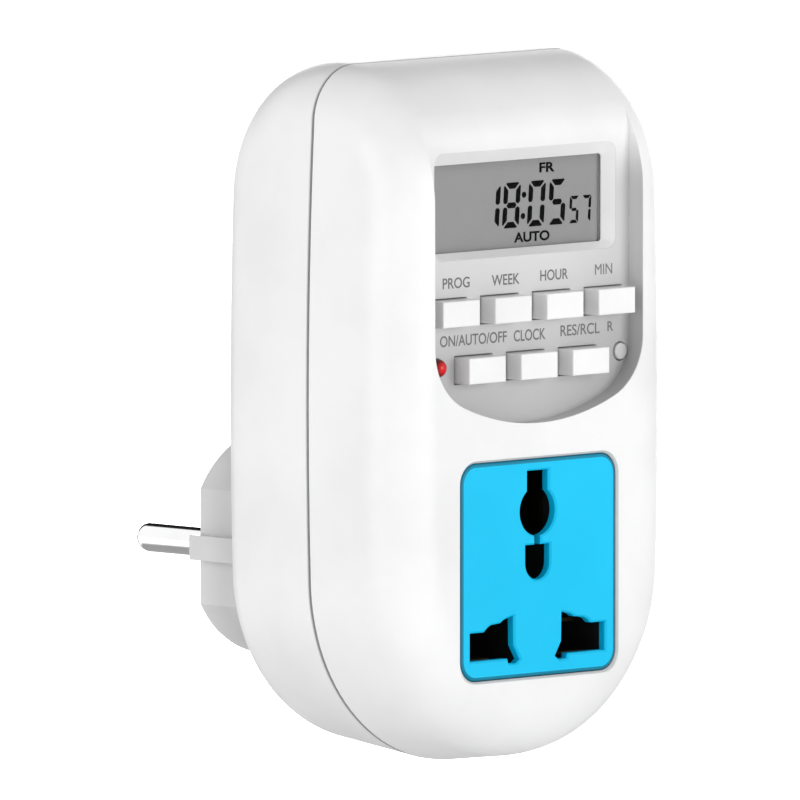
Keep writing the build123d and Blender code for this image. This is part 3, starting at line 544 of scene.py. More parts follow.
@dataclass(frozen=True)
class PanelPlastic(CasePlastic):
    """Case plastic greyed by painted shade inside the sunk panel and white again over the round top.

    Attributes:
        half_width: half of the panel's width in millimetres.
        face: depths between which the front face's white ends.
        deepest: where the grey ends, to leave the window's rim white.
        foot: lower end of the grey.
        fade: heights between which the grey fades out.
        heights: heights of the darkest and the lightest grey of the painted shade.
        tones: how much of the white is left there.
        across: how much of that is left at the right side, where the painted shade is darker.
        opening: middle height and half of the straight side of the outlet's opening.
        opening_reach: how far its bevel stays from that straight square at most.
        opening_face: depths between which the bevel starts.
        bevel: how much of the white the painted shade leaves on that bevel.
    """

    half_width: float = 23.66
    face: Pair = (-62.63, -62.35)
    deepest: float = -59.29
    foot: float = 22.9
    fade: Pair = (60.0, 69.5)
    heights: Pair = (28.0, 54.0)
    tones: Pair = (0.57, 0.82)
    across: float = 0.85
    opening: Pair = (-0.35, 14.15)
    opening_reach: float = 4.08
    opening_face: Pair = (-62.63, -62.55)
    bevel: float = 0.68

    def tinted(self, sheet: ShaderSheet, colour: Socket) -> Socket:
        """Paints shade that greys the inside of the panel and the bevel of the outlet's opening."""
        colour = super().tinted(sheet, colour)
        axes = sheet.split(sheet.place())
        x, y, z = axes
        # Painted shade inside the sunk panel, fading out over the round top.
        inside = sheet.product(
            sheet.math("LESS_THAN", sheet.away(x), self.half_width * MM),
            sheet.math("LESS_THAN", y, self.deepest * MM),
            sheet.math("GREATER_THAN", z, self.foot * MM),
            sheet.ramp(y, self.face),
            sheet.ramp(z, self.fade, (1.0, 0.0)),
        )
        # Painted shade: darker towards the panel's foot and its right side.
        across = sheet.ramp(x, (0.0, self.half_width), (1.0, self.across))
        grey = sheet.product(sheet.ramp(z, self.heights, self.tones), across)
        # Painted shade on the bevel of the outlet's opening.
        reach = sheet.square_reach(axes, *self.opening)
        near = sheet.math("LESS_THAN", reach, self.opening_reach * MM)
        cut = sheet.product(near, sheet.ramp(y, self.opening_face))
        panel_shaded = sheet.blend(1.0, colour, grey, "MULTIPLY")
        return sheet.blend(inside, sheet.dimmed(cut, colour, self.bevel), panel_shaded)


@dataclass(frozen=True)
class BossPlastic(CasePlastic):
    """Case plastic greyed by painted shade on the plug boss, more so towards its root.

    Attributes:
        root: depths between which the boss's painted shade starts, in millimetres.
        near_y: where the darkest painted shade near the root ends.
        tones: how much of the white is left near the root and at the boss's end.
        rib_edge: heights between which the side ribs end.
        rib_shift: how much nearer to the root the painted shadow on the ribs ends.
    """

    root: Pair = (-18.48, -18.1)
    near_y: float = -7.0
    tones: Pair = (0.64, 0.77)
    rib_edge: Pair = (2.0, 2.1)
    rib_shift: float = 4.0

    def tinted(self, sheet: ShaderSheet, colour: Socket) -> Socket:
        """Paints shade that greys the colour behind the boss's root."""
        colour = super().tinted(sheet, colour)
        _, y, z = sheet.split(sheet.place())
        # Painted shade of the case on the boss: darker towards its root, ending nearer the root on the
        # ribs.
        rib = sheet.ramp(sheet.away(z), self.rib_edge, (self.rib_shift * MM, 0.0))
        tone = sheet.ramp(sheet.math("ADD", y, rib), (self.near_y, 0.0), self.tones)
        return sheet.dimmed(sheet.ramp(y, self.root), colour, tone)


@dataclass(frozen=True)
class KeyPlastic(Plastic):
    """Key plastic with painted shade that makes the sides darker than the face.

    Attributes:
        face: depths between which the unshaded face ends, in millimetres.
        left: how much of the white the painted shade leaves on the sides.
    """

    face: Pair = (-62.7, -62.35)
    left: float = 0.86

    def tinted(self, sheet: ShaderSheet, colour: Socket) -> Socket:
        """Paints shade on the sides behind the face."""
        _, y, _ = sheet.split(sheet.place())
        return sheet.dimmed(sheet.ramp(y, self.face), colour, self.left)


@dataclass(frozen=True)
class LampResin(Plastic):
    """Tinted resin of a lamp: bright in the middle, with painted shade that darkens it towards its
    edge.

    Attributes:
        axis: the lamp's axis in X and Z, in millimetres.
        edge: distances from the axis where it is brightest and darkest.
        rim: colour of the painted shade at the edge.
    """

    axis: Pair = (-20.0, 32.8)
    edge: Pair = (0.5, 1.5)
    rim: Colour = (0.06, 0.0, 0.002)

    def tinted(self, sheet: ShaderSheet, colour: Socket) -> Socket:
        """Paints shade that darkens the colour towards the edge."""
        shifts = {0: sheet.place(), 1: (self.axis[0] * MM, 0.0, self.axis[1] * MM)}
        away = sheet.add("ShaderNodeVectorMath", shifts, operation="SUBTRACT").outputs[0]
        reach = sheet.length(away, (1.0, 0.0, 1.0))
        return sheet.blend(sheet.ramp(reach, self.edge), colour, self.rim)


@dataclass(frozen=True)
class PlatePlastic(Plastic):
    """Outlet plastic with painted shade on its rounded rim.

    Attributes:
        square: middle height and half of the straight side, in millimetres.
        rim: distances from that square between which the rim starts.
        left: how much of the colour the painted shade leaves on the rim.
    """

    square: Pair = (-0.35, 14.15)
    rim: Pair = (2.75, 2.85)
    left: float = 0.39

    def tinted(self, sheet: ShaderSheet, colour: Socket) -> Socket:
        """Paints shade on the rim."""
        reach = sheet.square_reach(sheet.split(sheet.place()), *self.square)
        return sheet.dimmed(sheet.ramp(reach, self.rim), colour, self.left)


@dataclass(frozen=True)
class Metal(Finish):
    """Bare or plated metal with fine rings or rolling lines.

    Attributes:
        colour: the metal's colour.
        roughness: gloss of the clean metal.
        lines: axis that the lines are square to.
        line_pitch: distance from line to line in millimetres.
        stretch: how much longer than that the lines are.
        depth: depth of the lines in millimetres.
        tarnish: how much darker the dull patches are.
        gloss: lowest and highest roughness, as shares of the clean metal's.
    """

    colour: Colour
    roughness: float = 0.2
    lines: Axis = Axis.Y
    line_pitch: float = 0.12
    stretch: float = 8.0
    depth: float = 0.001
    tarnish: float = 0.12
    gloss: Pair = (0.8, 1.3)

    def paint(self, sheet: ShaderSheet) -> Inputs:
        """Lined metal with dull patches."""
        times = {axis: 1.0 if axis is self.lines else self.stretch for axis in Axis}
        scales = {axis.value: 1.0 / (self.line_pitch * times[axis] * MM) for axis in Axis}
        surface = sheet.add("ShaderNodeGroup", scales, node_tree=Effects.brushing()).outputs
        dull = toned(self.colour, 1 - self.tarnish)
        gloss = tuple(share * self.roughness for share in self.gloss)
        return {
            "Metallic": 1.0,
            "Base Color": sheet.blend(surface["Tarnish"], self.colour, dull),
            "Roughness": sheet.span(surface["Rings"], MIDDLE, gloss),
            "Normal": sheet.relief(surface["Rings"], self.depth),
        }


@dataclass(frozen=True)
class ClearSheet(Finish):
    """Thin clear plastic: mostly see-through, with a glossy skin and faint dust.

    Attributes:
        colour: tint of the skin.
        veil: how much of the skin shows at least and at most.
        gloss: roughness of the clean and of the rubbed skin.
    """

    colour: Colour = (0.08, 0.08, 0.08)
    veil: Pair = (0.024, 0.036)
    gloss: Pair = (0.05, 0.3)

    def paint(self, sheet: ShaderSheet) -> Inputs:
        """Clear skin with a little dust."""
        surface = sheet.add("ShaderNodeGroup", node_tree=Effects.moulding()).outputs
        return {
            "Base Color": (*self.colour, 1.0),
            "Roughness": sheet.span(surface["Marks"], ALL, self.gloss),
            "Alpha": sheet.span(surface["Cloud"], MOST, self.veil),
        }


@dataclass(frozen=True)
class DisplayGlass(Finish):
    """Grey display glass, a little darker towards its long edges, made pale by painted light outside
    the window.

    Attributes:
        colour: its grey.
        centre: the window's middle in X and Z, in millimetres.
        half_size: half of the window's width and height in millimetres.
        dark: how much of the grey is left at the long edges.
        dark_from: where that starts, as a share of half of the height.
        dark_share: how much of it shows at most.
        pale: how much paler the painted light makes it beyond the window's ends.
        pale_width: distance in which that starts, in millimetres.
        grain_scale: cells of its fine grain to the metre.
        sparkle: colour of that grain.
        sparkle_share: how much of that shows at most.
        gloss: lowest and highest roughness.
    """

    colour: Colour
    centre: Pair
    half_size: Pair
    dark: float = 0.88
    dark_from: float = 0.7
    dark_share: float = 0.6
    pale: float = 3.0
    pale_width: float = 0.1
    grain_scale: float = 9000.0
    sparkle: Colour = (0.75, 0.77, 0.74)
    sparkle_share: float = 0.12
    gloss: Pair = (0.28, 0.36)

    def paint(self, sheet: ShaderSheet) -> Inputs:
        """Grey glass."""
        place = sheet.place()
        x, _, z = sheet.split(place)
        half_width, half_height = self.half_size
        rise = (self.dark_from * half_height, half_height)
        edge = sheet.ramp(sheet.away(z, self.centre[1]), rise, (0.0, self.dark_share))
        # Painted light beyond the window's ends, where the window's edge shades the glass.
        end = sheet.ramp(sheet.away(x, self.centre[0]), (half_width, half_width + self.pale_width))
        grain = sheet.noise(place, self.grain_scale, 1.0)
        base = sheet.blend(edge, self.colour, toned(self.colour, self.dark))
        base = sheet.blend(end, base, toned(self.colour, self.pale))
        glint = sheet.span(grain, MIDDLE, (0.0, self.sparkle_share))
        rough = sheet.span(grain, ALL, self.gloss)
        return {"Base Color": sheet.blend(glint, base, self.sparkle), "Roughness": rough}


@dataclass(frozen=True)
class Board(Finish):
    """Circuit board: solder mask over copper tracks, with tinned pads.

    Attributes:
        mask: colour of the solder mask.
        track: colour where copper runs under it.
        tin: colour of the pads.
        pitch: distance between tracks in millimetres.
        track_share: width of a track, as a share of the pitch.
        run: length of a straight run, in pitches.
        jog: how many rows there are from one shifted row to the next.
        squash: how much shorter the runs of such a row are.
        pad_density: pads to a pitch.
        pad_share: radius of a pad, as a share of the distance between pads.
        gloss: roughness of the mask and of the pads.
        relief: height of the tracks in millimetres.
    """

    mask: Colour
    track: Colour
    tin: Colour = (0.62, 0.62, 0.6)
    pitch: float = 1.9
    track_share: float = 0.18
    run: float = 3.0
    jog: int = 3
    squash: float = 0.6
    pad_density: float = 0.6
    pad_share: float = 0.14
    gloss: Pair = (0.32, 0.22)
    relief: float = 0.02

    def paint(self, sheet: ShaderSheet) -> Inputs:
        """Tracks and pads."""
        turn = {"Vector": sheet.place(), "Rotation": (math.pi / 2, 0.0, 0.0)}
        flat = sheet.add("ShaderNodeMapping", turn).outputs[0]
        scale = 1.0 / (self.pitch * MM)
        shape = {"Mortar Size": self.track_share, "Brick Width": self.run}
        rows = {"offset_frequency": self.jog, "squash": self.squash}
        bricks = sheet.add("ShaderNodeTexBrick", {"Vector": flat, "Scale": scale, **shape}, **rows)
        tracks = bricks.outputs["Fac"]
        cells = sheet.add("ShaderNodeTexVoronoi", {"Vector": flat, "Scale": self.pad_density * scale})
        pad = sheet.math("LESS_THAN", cells.outputs["Distance"], self.pad_share)
        return {
            "Base Color": sheet.blend(pad, sheet.blend(tracks, self.mask, self.track), self.tin),
            "Roughness": sheet.span(pad, ALL, self.gloss),
            "Normal": sheet.relief(tracks, self.relief),
        }


@dataclass(frozen=True)
class Banded(Finish):
    """A small round part with painted bands square to X.

    Attributes:
        body: colour of its coat.
        width: width of a band in millimetres.
        bands: place of each band's middle in X, and its colour.
        shade: how much of the coat's colour is left in its dark clouds.
        gloss: roughness of the clean and of the rubbed coat.
    """

    body: Colour
    width: float
    bands: tuple[tuple[float, Colour], ...]
    shade: float = 0.85
    gloss: Pair = (0.3, 0.5)

    def paint(self, sheet: ShaderSheet) -> Inputs:
        """Coat with bands."""
        surface = sheet.add("ShaderNodeGroup", node_tree=Effects.moulding()).outputs
        x, _, _ = sheet.split(sheet.place())
        colour = sheet.blend(surface["Cloud"], toned(self.body, self.shade), self.body)
        for middle, paint in self.bands:
            on_band = sheet.math("LESS_THAN", sheet.away(x, middle), self.width / 2 * MM)
            colour = sheet.blend(on_band, colour, paint)
        rough = sheet.span(surface["Marks"], ALL, self.gloss)
        return {"Base Color": colour, "Roughness": rough}


# ---- building


class Assembly:
    """Base of every sub-assembly."""

    def dress(self, finish: Finish, *nodes: str) -> None:
        """Gives construction nodes a finish.

        Args:
            finish: the finish.
            nodes: the nodes' names.
        """
        material = new_material(finish.name, finish.paint)
        for node in nodes:
            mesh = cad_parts[node].data
            mesh.materials.clear()
            mesh.materials.append(material)
        log.info("%s on %s", finish.name, ", ".join(nodes))

    def place(self, name: str, sheet: BMesh, body: Body, slot: str, finish: Finish) -> None:
        """Adds a new piece to the scene, with its faces turned outwards.

        Args:
            name: the piece's name.
            sheet: its faces, in place in the frame. They are freed.
            body: the body that it rides on.
            slot: the record's material slot that it belongs to; not used.
            finish: its finish.
        """
        bmesh.ops.remove_doubles(sheet, verts=sheet.verts, dist=1e-7)
        bmesh.ops.recalc_face_normals(sheet, faces=sheet.faces)
        mesh = bpy.data.meshes.new(name)
        sheet.to_mesh(mesh)
        sheet.free()
        mesh.materials.append(new_material(finish.name, finish.paint))
        piece = add_object(name, mesh)
        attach(piece, body.value)
        log.info("%s: %d faces", name, len(mesh.polygons))


@dataclass(frozen=True)
class Legend:
    """One word of print, in millimetres.

    Attributes:
        text: the word.
        x: its middle.
        z: its middle height.
        width: its width.
        height: the height of its capitals.
        weight: how far its strokes are thickened, as a share of the type size.
    """

    text: str
    x: float
    z: float
    width: float
    height: float
    weight: float = 0.012

    def letters(self) -> bpy.types.Mesh:
        """Makes the letters flat in X and Y and one unit thick in Z.

        Returns:
            Their mesh, which isn't placed yet.
        """
        curve = bpy.data.curves.new(self.text, "FONT")
        curve.body, curve.offset = self.text, self.weight
        curve.extrude, curve.resolution_u = 0.5, 6
        holder = add_object(self.text, curve)
        graph = bpy.context.evaluated_depsgraph_get()
        mesh = bpy.data.meshes.new_from_object(holder.evaluated_get(graph))
        bpy.data.objects.remove(holder)
        bpy.data.curves.remove(curve)
        return mesh

    def add_to(self, sheet: BMesh, face_y: float, thickness: float) -> None:
        """Adds the word to a mesh, standing up and facing the front.

        Args:
            sheet: the mesh that holds the words of print.
            face_y: the surface that the print sits on.
            thickness: thickness of the ink.
        """
        mesh = self.letters()
        xs = [vertex.co.x for vertex in mesh.vertices]
        ys = [vertex.co.y for vertex in mesh.vertices]
        middle = Vector(((min(xs) + max(xs)) / 2, (min(ys) + max(ys)) / 2, 0.0))
        scale = (self.width / (max(xs) - min(xs)), self.height / (max(ys) - min(ys)), thickness, 1.0)
        at = Vector((self.x, face_y - thickness / 2, self.z))
        sized = Matrix.Diagonal(scale) @ Matrix.Translation(-middle)
        mesh.transform(Matrix.Scale(MM, 4) @ Matrix.Translation(at) @ UPRIGHT @ sized)
        sheet.from_mesh(mesh)
        bpy.data.meshes.remove(mesh)


# ---- sub-assemblies


@dataclass
class Case(Assembly):
    """The two covers, the boss and the screws that close them.

    Attributes:
        white: colour of the covers.
    """

    white: Colour = (0.9, 0.9, 0.9)

    def build(self) -> None:
        """Dresses the covers and their screws."""
        self.dress(PanelPlastic("case_front_plastic", self.white), "front_cover")
        self.dress(BossPlastic("case_rear_plastic", self.white), "rear_cover")
        steel = Metal("zinc_steel", (0.62, 0.63, 0.65), roughness=0.32,
                      line_pitch=0.2, depth=0.004, tarnish=0.25)
        places = ("case", "board", "power_board", "outlet", "carrier")
        self.dress(steel, *(f"{place}_screws" for place in places))


@dataclass
class ControlPanel(Assembly):
    """Keys, lamp and the words of print over the keys.

    Attributes:
        face_y: the panel's face in millimetres.
        ink_thickness: thickness of the print.
        words: the words over the keys.
    """

    face_y: float = -59.35
    ink_thickness: float = 0.02
    words: tuple[Legend, ...] = (
        Legend("PROG", -15.65, 46.3, 6.1, 1.75),
        Legend("WEEK", -4.45, 46.2, 6.3, 1.75),
        Legend("HOUR", 6.55, 46.35, 6.3, 1.75),
        Legend("MIN", 17.8, 46.6, 3.9, 1.7, 0.0),
        Legend("ON/AUTO/OFF", -11.75, 37.0, 15.1, 1.8),
        Legend("CLOCK", 1.0, 36.95, 7.2, 1.85),
        Legend("RES/RCL", 12.45, 37.15, 8.9, 1.8),
        Legend("R", 19.35, 37.25, 1.3, 1.6),
    )

    def build(self) -> None:
        """Dresses the keys and the lamp and prints the words."""
        keys = ("prog", "week", "hour", "minute", "mode", "clock", "recall")
        key_plastic = KeyPlastic("key_plastic", (0.92, 0.92, 0.92), roughness=0.3, grain=0.003)
        self.dress(key_plastic, *(f"{key}_button" for key in keys))
        self.dress(Plastic("reset_plastic", (0.62, 0.62, 0.62), roughness=0.4), "reset_button")
        resin = LampResin("lamp_resin", srgb(222, 24, 30), roughness=0.12,
                          grain=0.0, glow=0.04, shine=0.3)
        self.dress(resin, "status_led")
        self.dress(Plastic("switch_plastic", (0.03, 0.03, 0.032), roughness=0.5), "tact_switches")
        sheet = bmesh.new()
        for word in self.words:
            word.add_to(sheet, self.face_y, self.ink_thickness)
        ink = Plastic("legend_ink", srgb(112, 112, 114), roughness=0.6, grain=0.0, cloud=0.04)
        self.place("key_legends", sheet, Body.CASE, "carrier_black", ink)


@dataclass(frozen=True)
class DigitStyle:
    """Shape of one size of display digit, in millimetres.

    Attributes:
        width, height: outside of an upright digit.
        stroke: thickness of its segments.
        corner: how far the outer tips stay away from the digit's corners.
        gap: half of the space between the upper and the lower segments.
        cut: how much more is cut off the digit's outer corners.
        slant: lean to the right for each unit of height.
        half: half of the middle segment's height, as a share of the stroke.
        tip: how far its tips stay away from the sides, as a share of the stroke.
        point: length of its points, as a share of half of its height.
        chip: cut corners of a post at the middle, as a share of the stroke.
    """

    width: float
    height: float
    stroke: float
    corner: float
    gap: float
    cut: float
    slant: float = 0.075
    half: float = 0.46
    tip: float = 0.8
    point: float = 0.7
    chip: float = 0.3

    def bar(self) -> list[Pair]:
        """Outline of the top segment, mitred at both ends."""
        low = (self.corner + self.stroke, self.height - self.stroke)
        outer = (self.corner + self.cut / 2, self.height - self.cut / 2)
        left = [low, outer, (self.corner + self.cut, self.height)]
        return left + [(self.width - x, z) for x, z in reversed(left)]

    def middle(self) -> list[Pair]:
        """Outline of the middle segment, pointed at both ends."""
        half, tip = self.half * self.stroke, self.tip * self.stroke
        inner = tip + self.point * half
        left = [(inner, half), (tip, 0.0), (inner, -half)]
        right = [(self.width - x, -z) for x, z in left]
        return [(x, z + self.height / 2) for x, z in left + right]

    def post(self) -> list[Pair]:
        """Outline of the upper left segment: mitred above, with its lower corners cut."""
        foot, top = self.height / 2 + self.gap, self.height - self.corner
        chip, half = self.chip * self.stroke, self.cut / 2
        low = [(0.0, foot + chip), (chip, foot), (self.stroke - chip, foot)]
        right = [(self.stroke, foot + chip), (self.stroke, top - self.stroke)]
        return low + right + [(half, top - half), (0.0, top - self.cut)]


class Segment(Enum):
    """Segments of a digit: a method of DigitStyle, and whether it is turned over in X and Z."""

    TOP = ("bar", False, False)
    UPPER_LEFT = ("post", False, False)
    UPPER_RIGHT = ("post", True, False)
    MIDDLE = ("middle", False, False)
    LOWER_LEFT = ("post", False, True)
    LOWER_RIGHT = ("post", True, True)
    BOTTOM = ("bar", False, True)


LIT = {
    "0": "TOP UPPER_LEFT UPPER_RIGHT LOWER_LEFT LOWER_RIGHT BOTTOM",
    "1": "UPPER_RIGHT LOWER_RIGHT",
    "5": "TOP UPPER_LEFT MIDDLE LOWER_RIGHT BOTTOM",
    "7": "TOP UPPER_RIGHT LOWER_RIGHT",
    "8": "TOP UPPER_LEFT UPPER_RIGHT MIDDLE LOWER_LEFT LOWER_RIGHT BOTTOM",
}


@dataclass
class Display(Assembly):
    """Lens, glass, lit segments and the frame round them.

    Attributes:
        glass_y: the display glass's face in millimetres.
        ink_thickness: thickness of the lit segments.
        base_z: foot of the digits.
        window: middle X and Z of the window.
        half_size: half of its width and height.
        large, small: shapes of the two sizes of digit.
        digits, small_digits: each digit and its left side at the foot.
        dots: middle of each dot of the colon, before the slant.
        dot_radius: their radius.
        words: the words on the display.
    """

    glass_y: float = -56.8
    ink_thickness: float = 0.03
    base_z: float = 54.12
    window: Pair = (0.0, 58.05)
    half_size: Pair = (19.1, 7.1)
    large: DigitStyle = DigitStyle(width=3.8, height=7.35, stroke=1.0, corner=0.26, gap=0.28, cut=0.36)
    small: DigitStyle = DigitStyle(width=2.1, height=4.4, stroke=0.54, corner=0.1, gap=0.12, cut=0.12)
    digits: tuple[tuple[str, float], ...] = (("1", -7.32), ("8", -2.78), ("0", 2.88), ("5", 7.58))
    small_digits: tuple[tuple[str, float], ...] = (("5", 12.38), ("7", 15.15))
    dots: tuple[Pair, ...] = ((1.86, 1.8), (1.86, 5.22))
    dot_radius: float = 0.5
    words: tuple[Legend, ...] = (
        Legend("FR", 7.45, 63.52, 3.45, 1.6, 0.03),
        Legend("AUTO", 4.0, 52.52, 8.05, 1.65, 0.03),
    )

    def digit(self, sheet: BMesh, style: DigitStyle, text: str, left: float) -> None:
        """Adds one slanted digit with its foot at the base line.

        Args:
            sheet: the mesh of the lit segments.
            style: the digit's style.
            text: the digit.
            left: its left side at the foot.
        """
        before = len(sheet.verts)
        for name in LIT[text].split():
            shape, over_x, over_z = Segment[name].value
            corners = []
            for x, z in getattr(style, shape)():
                at = (style.width - x if over_x else x, 0.0, style.height - z if over_z else z)
                corners.append(sheet.verts.new(at))
            grown = bmesh.ops.extrude_face_region(sheet, geom=[sheet.faces.new(corners)])["geom"]
            lifted = [piece for piece in grown if isinstance(piece, bmesh.types.BMVert)]
            bmesh.ops.translate(sheet, verts=lifted, vec=(0.0, -self.ink_thickness, 0.0))
        sheet.verts.ensure_lookup_table()
        lean = Matrix.Translation((left, 0.0, 0.0)) @ Matrix.Shear("XY", 4, (style.slant, 0.0))
        bmesh.ops.transform(sheet, matrix=lean, verts=sheet.verts[before:])

    def colon(self, sheet: BMesh) -> None:
        """Adds the two dots between hours and minutes.

        Args:
            sheet: the mesh of the lit segments.
        """
        for x, rise in self.dots:
            at = (x + self.large.slant * rise, -self.ink_thickness / 2, rise)
            bmesh.ops.create_cone(sheet, cap_ends=True, segments=20, radius1=self.dot_radius,
                                  radius2=self.dot_radius, depth=self.ink_thickness,
                                  matrix=Matrix.Translation(at) @ UPRIGHT)

    def build(self) -> None:
        """Dresses the display and adds what is lit on it."""
        self.dress(ClearSheet("lens_acrylic"), "display_window")
        glass = DisplayGlass("display_glass", srgb(146, 146, 146), self.window, self.half_size)
        self.dress(glass, "lcd_panel")
        self.dress(Plastic("frame_plastic", (0.03, 0.03, 0.03), roughness=0.5), "lcd_frame")
        rubber = Plastic("striped_silicone", (0.16, 0.16, 0.18), roughness=0.6, grain=0.02)
        self.dress(rubber, "zebra_strip")
        sheet = bmesh.new()
        for style, digits in ((self.large, self.digits), (self.small, self.small_digits)):
            for text, left in digits:
                self.digit(sheet, style, text, left)
        self.colon(sheet)
        place = Matrix.Scale(MM, 4) @ Matrix.Translation((0.0, self.glass_y, self.base_z))
        bmesh.ops.transform(sheet, matrix=place, verts=sheet.verts)
        for word in self.words:
            word.add_to(sheet, self.glass_y, self.ink_thickness)
        ink = Plastic("display_ink", (0.004, 0.004, 0.005), roughness=0.6,
                      grain=0.0, cloud=0.1, shine=0.0)
        self.place("display_segments", sheet, Body.CASE, "lcd_grey", ink)


@dataclass
class Outlet(Assembly):
    """Coloured plate, the dark block behind it and the contacts.

    Attributes:
        blue: colour of the plate.
    """

    blue: Colour = (0.0, 0.58, 0.93)

    def build(self) -> None:
        """Dresses the outlet."""
        plate = PlatePlastic("outlet_plastic", self.blue, roughness=0.34,
                             grain=0.004, cloud=0.02, shine=0.25)
        self.dress(plate, "socket_plate")
        self.dress(Plastic("carrier_plastic", (0.012, 0.011, 0.011), roughness=0.55), "socket_carrier")
        # Brass darkened far below its own colour: painted shade of the outlet's inside; its tarnish
        # patches are random.
        brass = Metal("contact_brass", (0.03, 0.022, 0.013), roughness=0.5, lines=Axis.X, tarnish=0.5)
        self.dress(brass, "contact_live", "contact_neutral", "contact_earth", "earth_strap")


class Plug(Assembly):
    """Pins, earth clips and the block that holds them."""

    def build(self) -> None:
        """Dresses the plug."""
        nickel = Metal("pin_nickel", (0.97, 0.97, 0.975), roughness=0.1, depth=0.0005, tarnish=0.04)
        self.dress(nickel, "plug_pin_live", "plug_pin_neutral")
        strip = Metal("clip_nickel", (0.8, 0.79, 0.77), lines=Axis.X, tarnish=0.15)
        self.dress(strip, "earth_clip_top", "earth_clip_bottom")
        self.dress(Plastic("pin_block_plastic", (0.05, 0.05, 0.05), roughness=0.5), "pin_carrier")


class Electronics(Assembly):
    """Boards, the parts on them and the wires, all inside the closed case.

    Attributes:
        BROWN, BLACK, SILVER, GOLD, RED: colours of the painted bands.
        COATS: name, colour, roughness and grain of each plain coat, and the nodes that have it.
    """

    BROWN = (0.12, 0.04, 0.02)
    BLACK = (0.02, 0.02, 0.02)
    SILVER = (0.7, 0.7, 0.7)
    GOLD = (0.55, 0.38, 0.1)
    RED = (0.5, 0.02, 0.02)
    COATS = (
        ("epoxy_black", (0.022, 0.022, 0.024), 0.45, 0.01, ("controller_chip", "driver_transistors")),
        ("relay_plastic", (0.02, 0.09, 0.36), 0.3, 0.003, ("relay",)),
        ("varistor_coat", (0.03, 0.14, 0.42), 0.4, 0.03, ("varistor",)),
        ("film_box", (0.7, 0.5, 0.06), 0.35, 0.006, ("film_capacitor",)),
        ("can_sleeve", (0.02, 0.022, 0.035), 0.25, 0.0, ("smoothing_capacitors",)),
        ("header_plastic", (0.8, 0.77, 0.68), 0.45, 0.006, ("ribbon_headers",)),
        ("ribbon_vinyl", (0.45, 0.45, 0.46), 0.5, 0.006, ("ribbon_cable",)),
        ("brown_vinyl", (0.11, 0.04, 0.018), 0.45, 0.006, ("live_in_wire", "live_out_wire")),
        ("blue_vinyl", (0.01, 0.08, 0.4), 0.45, 0.006, ("neutral_wire", "neutral_tap_wire")),
    )

    def build(self) -> None:
        """Dresses everything inside."""
        for name, colour, roughness, grain, nodes in self.COATS:
            self.dress(Plastic(name, colour, roughness, grain), *nodes)
        green = Board("solder_mask", (0.01, 0.12, 0.05), (0.02, 0.22, 0.09))
        self.dress(green, "control_board", "power_board")
        can = Metal("drawn_can", (0.72, 0.72, 0.73), roughness=0.25, lines=Axis.X)
        self.dress(can, "crystal", "backup_battery")
        bands = ((-12.0, self.BROWN), (-10.4, self.BLACK), (-8.8, self.BLACK), (-6.6, self.GOLD))
        self.dress(Banded("fuse_coat", (0.2, 0.28, 0.22), 0.9, bands), "fuse_resistor")
        bands = ((-13.6, self.RED), (-12.5, self.RED), (-11.4, self.BROWN), (-9.9, self.GOLD))
        self.dress(Banded("resistor_coat", (0.55, 0.4, 0.26), 0.6, bands), "board_resistors")
        bands = ((12.6, self.SILVER),)
        self.dress(Banded("diode_epoxy", self.BLACK, 0.7, bands), "rectifier_diodes")


# ---- studio


@dataclass
class Softbox:
    """One rectangular soft light.

    Attributes:
        name: the light's name.
        turn, rise: where it stands round the object, in degrees like the camera's.
        power: its power in watts.
        distance: how far away, in metres.
        size: its side in metres.
    """

    name: str
    turn: float
    rise: float
    power: float
    distance: float = 0.8
    size: float = 0.5


def direction(turn: float, rise: float) -> Vector:
    """Unit vector from the object towards a stand.

    Args:
        turn: degrees round from the front, negative to the left.
        rise: degrees above level.

    Returns:
        The vector.
    """
    around, up = math.radians(turn), math.radians(rise)
    return Vector((math.sin(around) * math.cos(up), -math.cos(around) * math.cos(up), math.sin(up)))


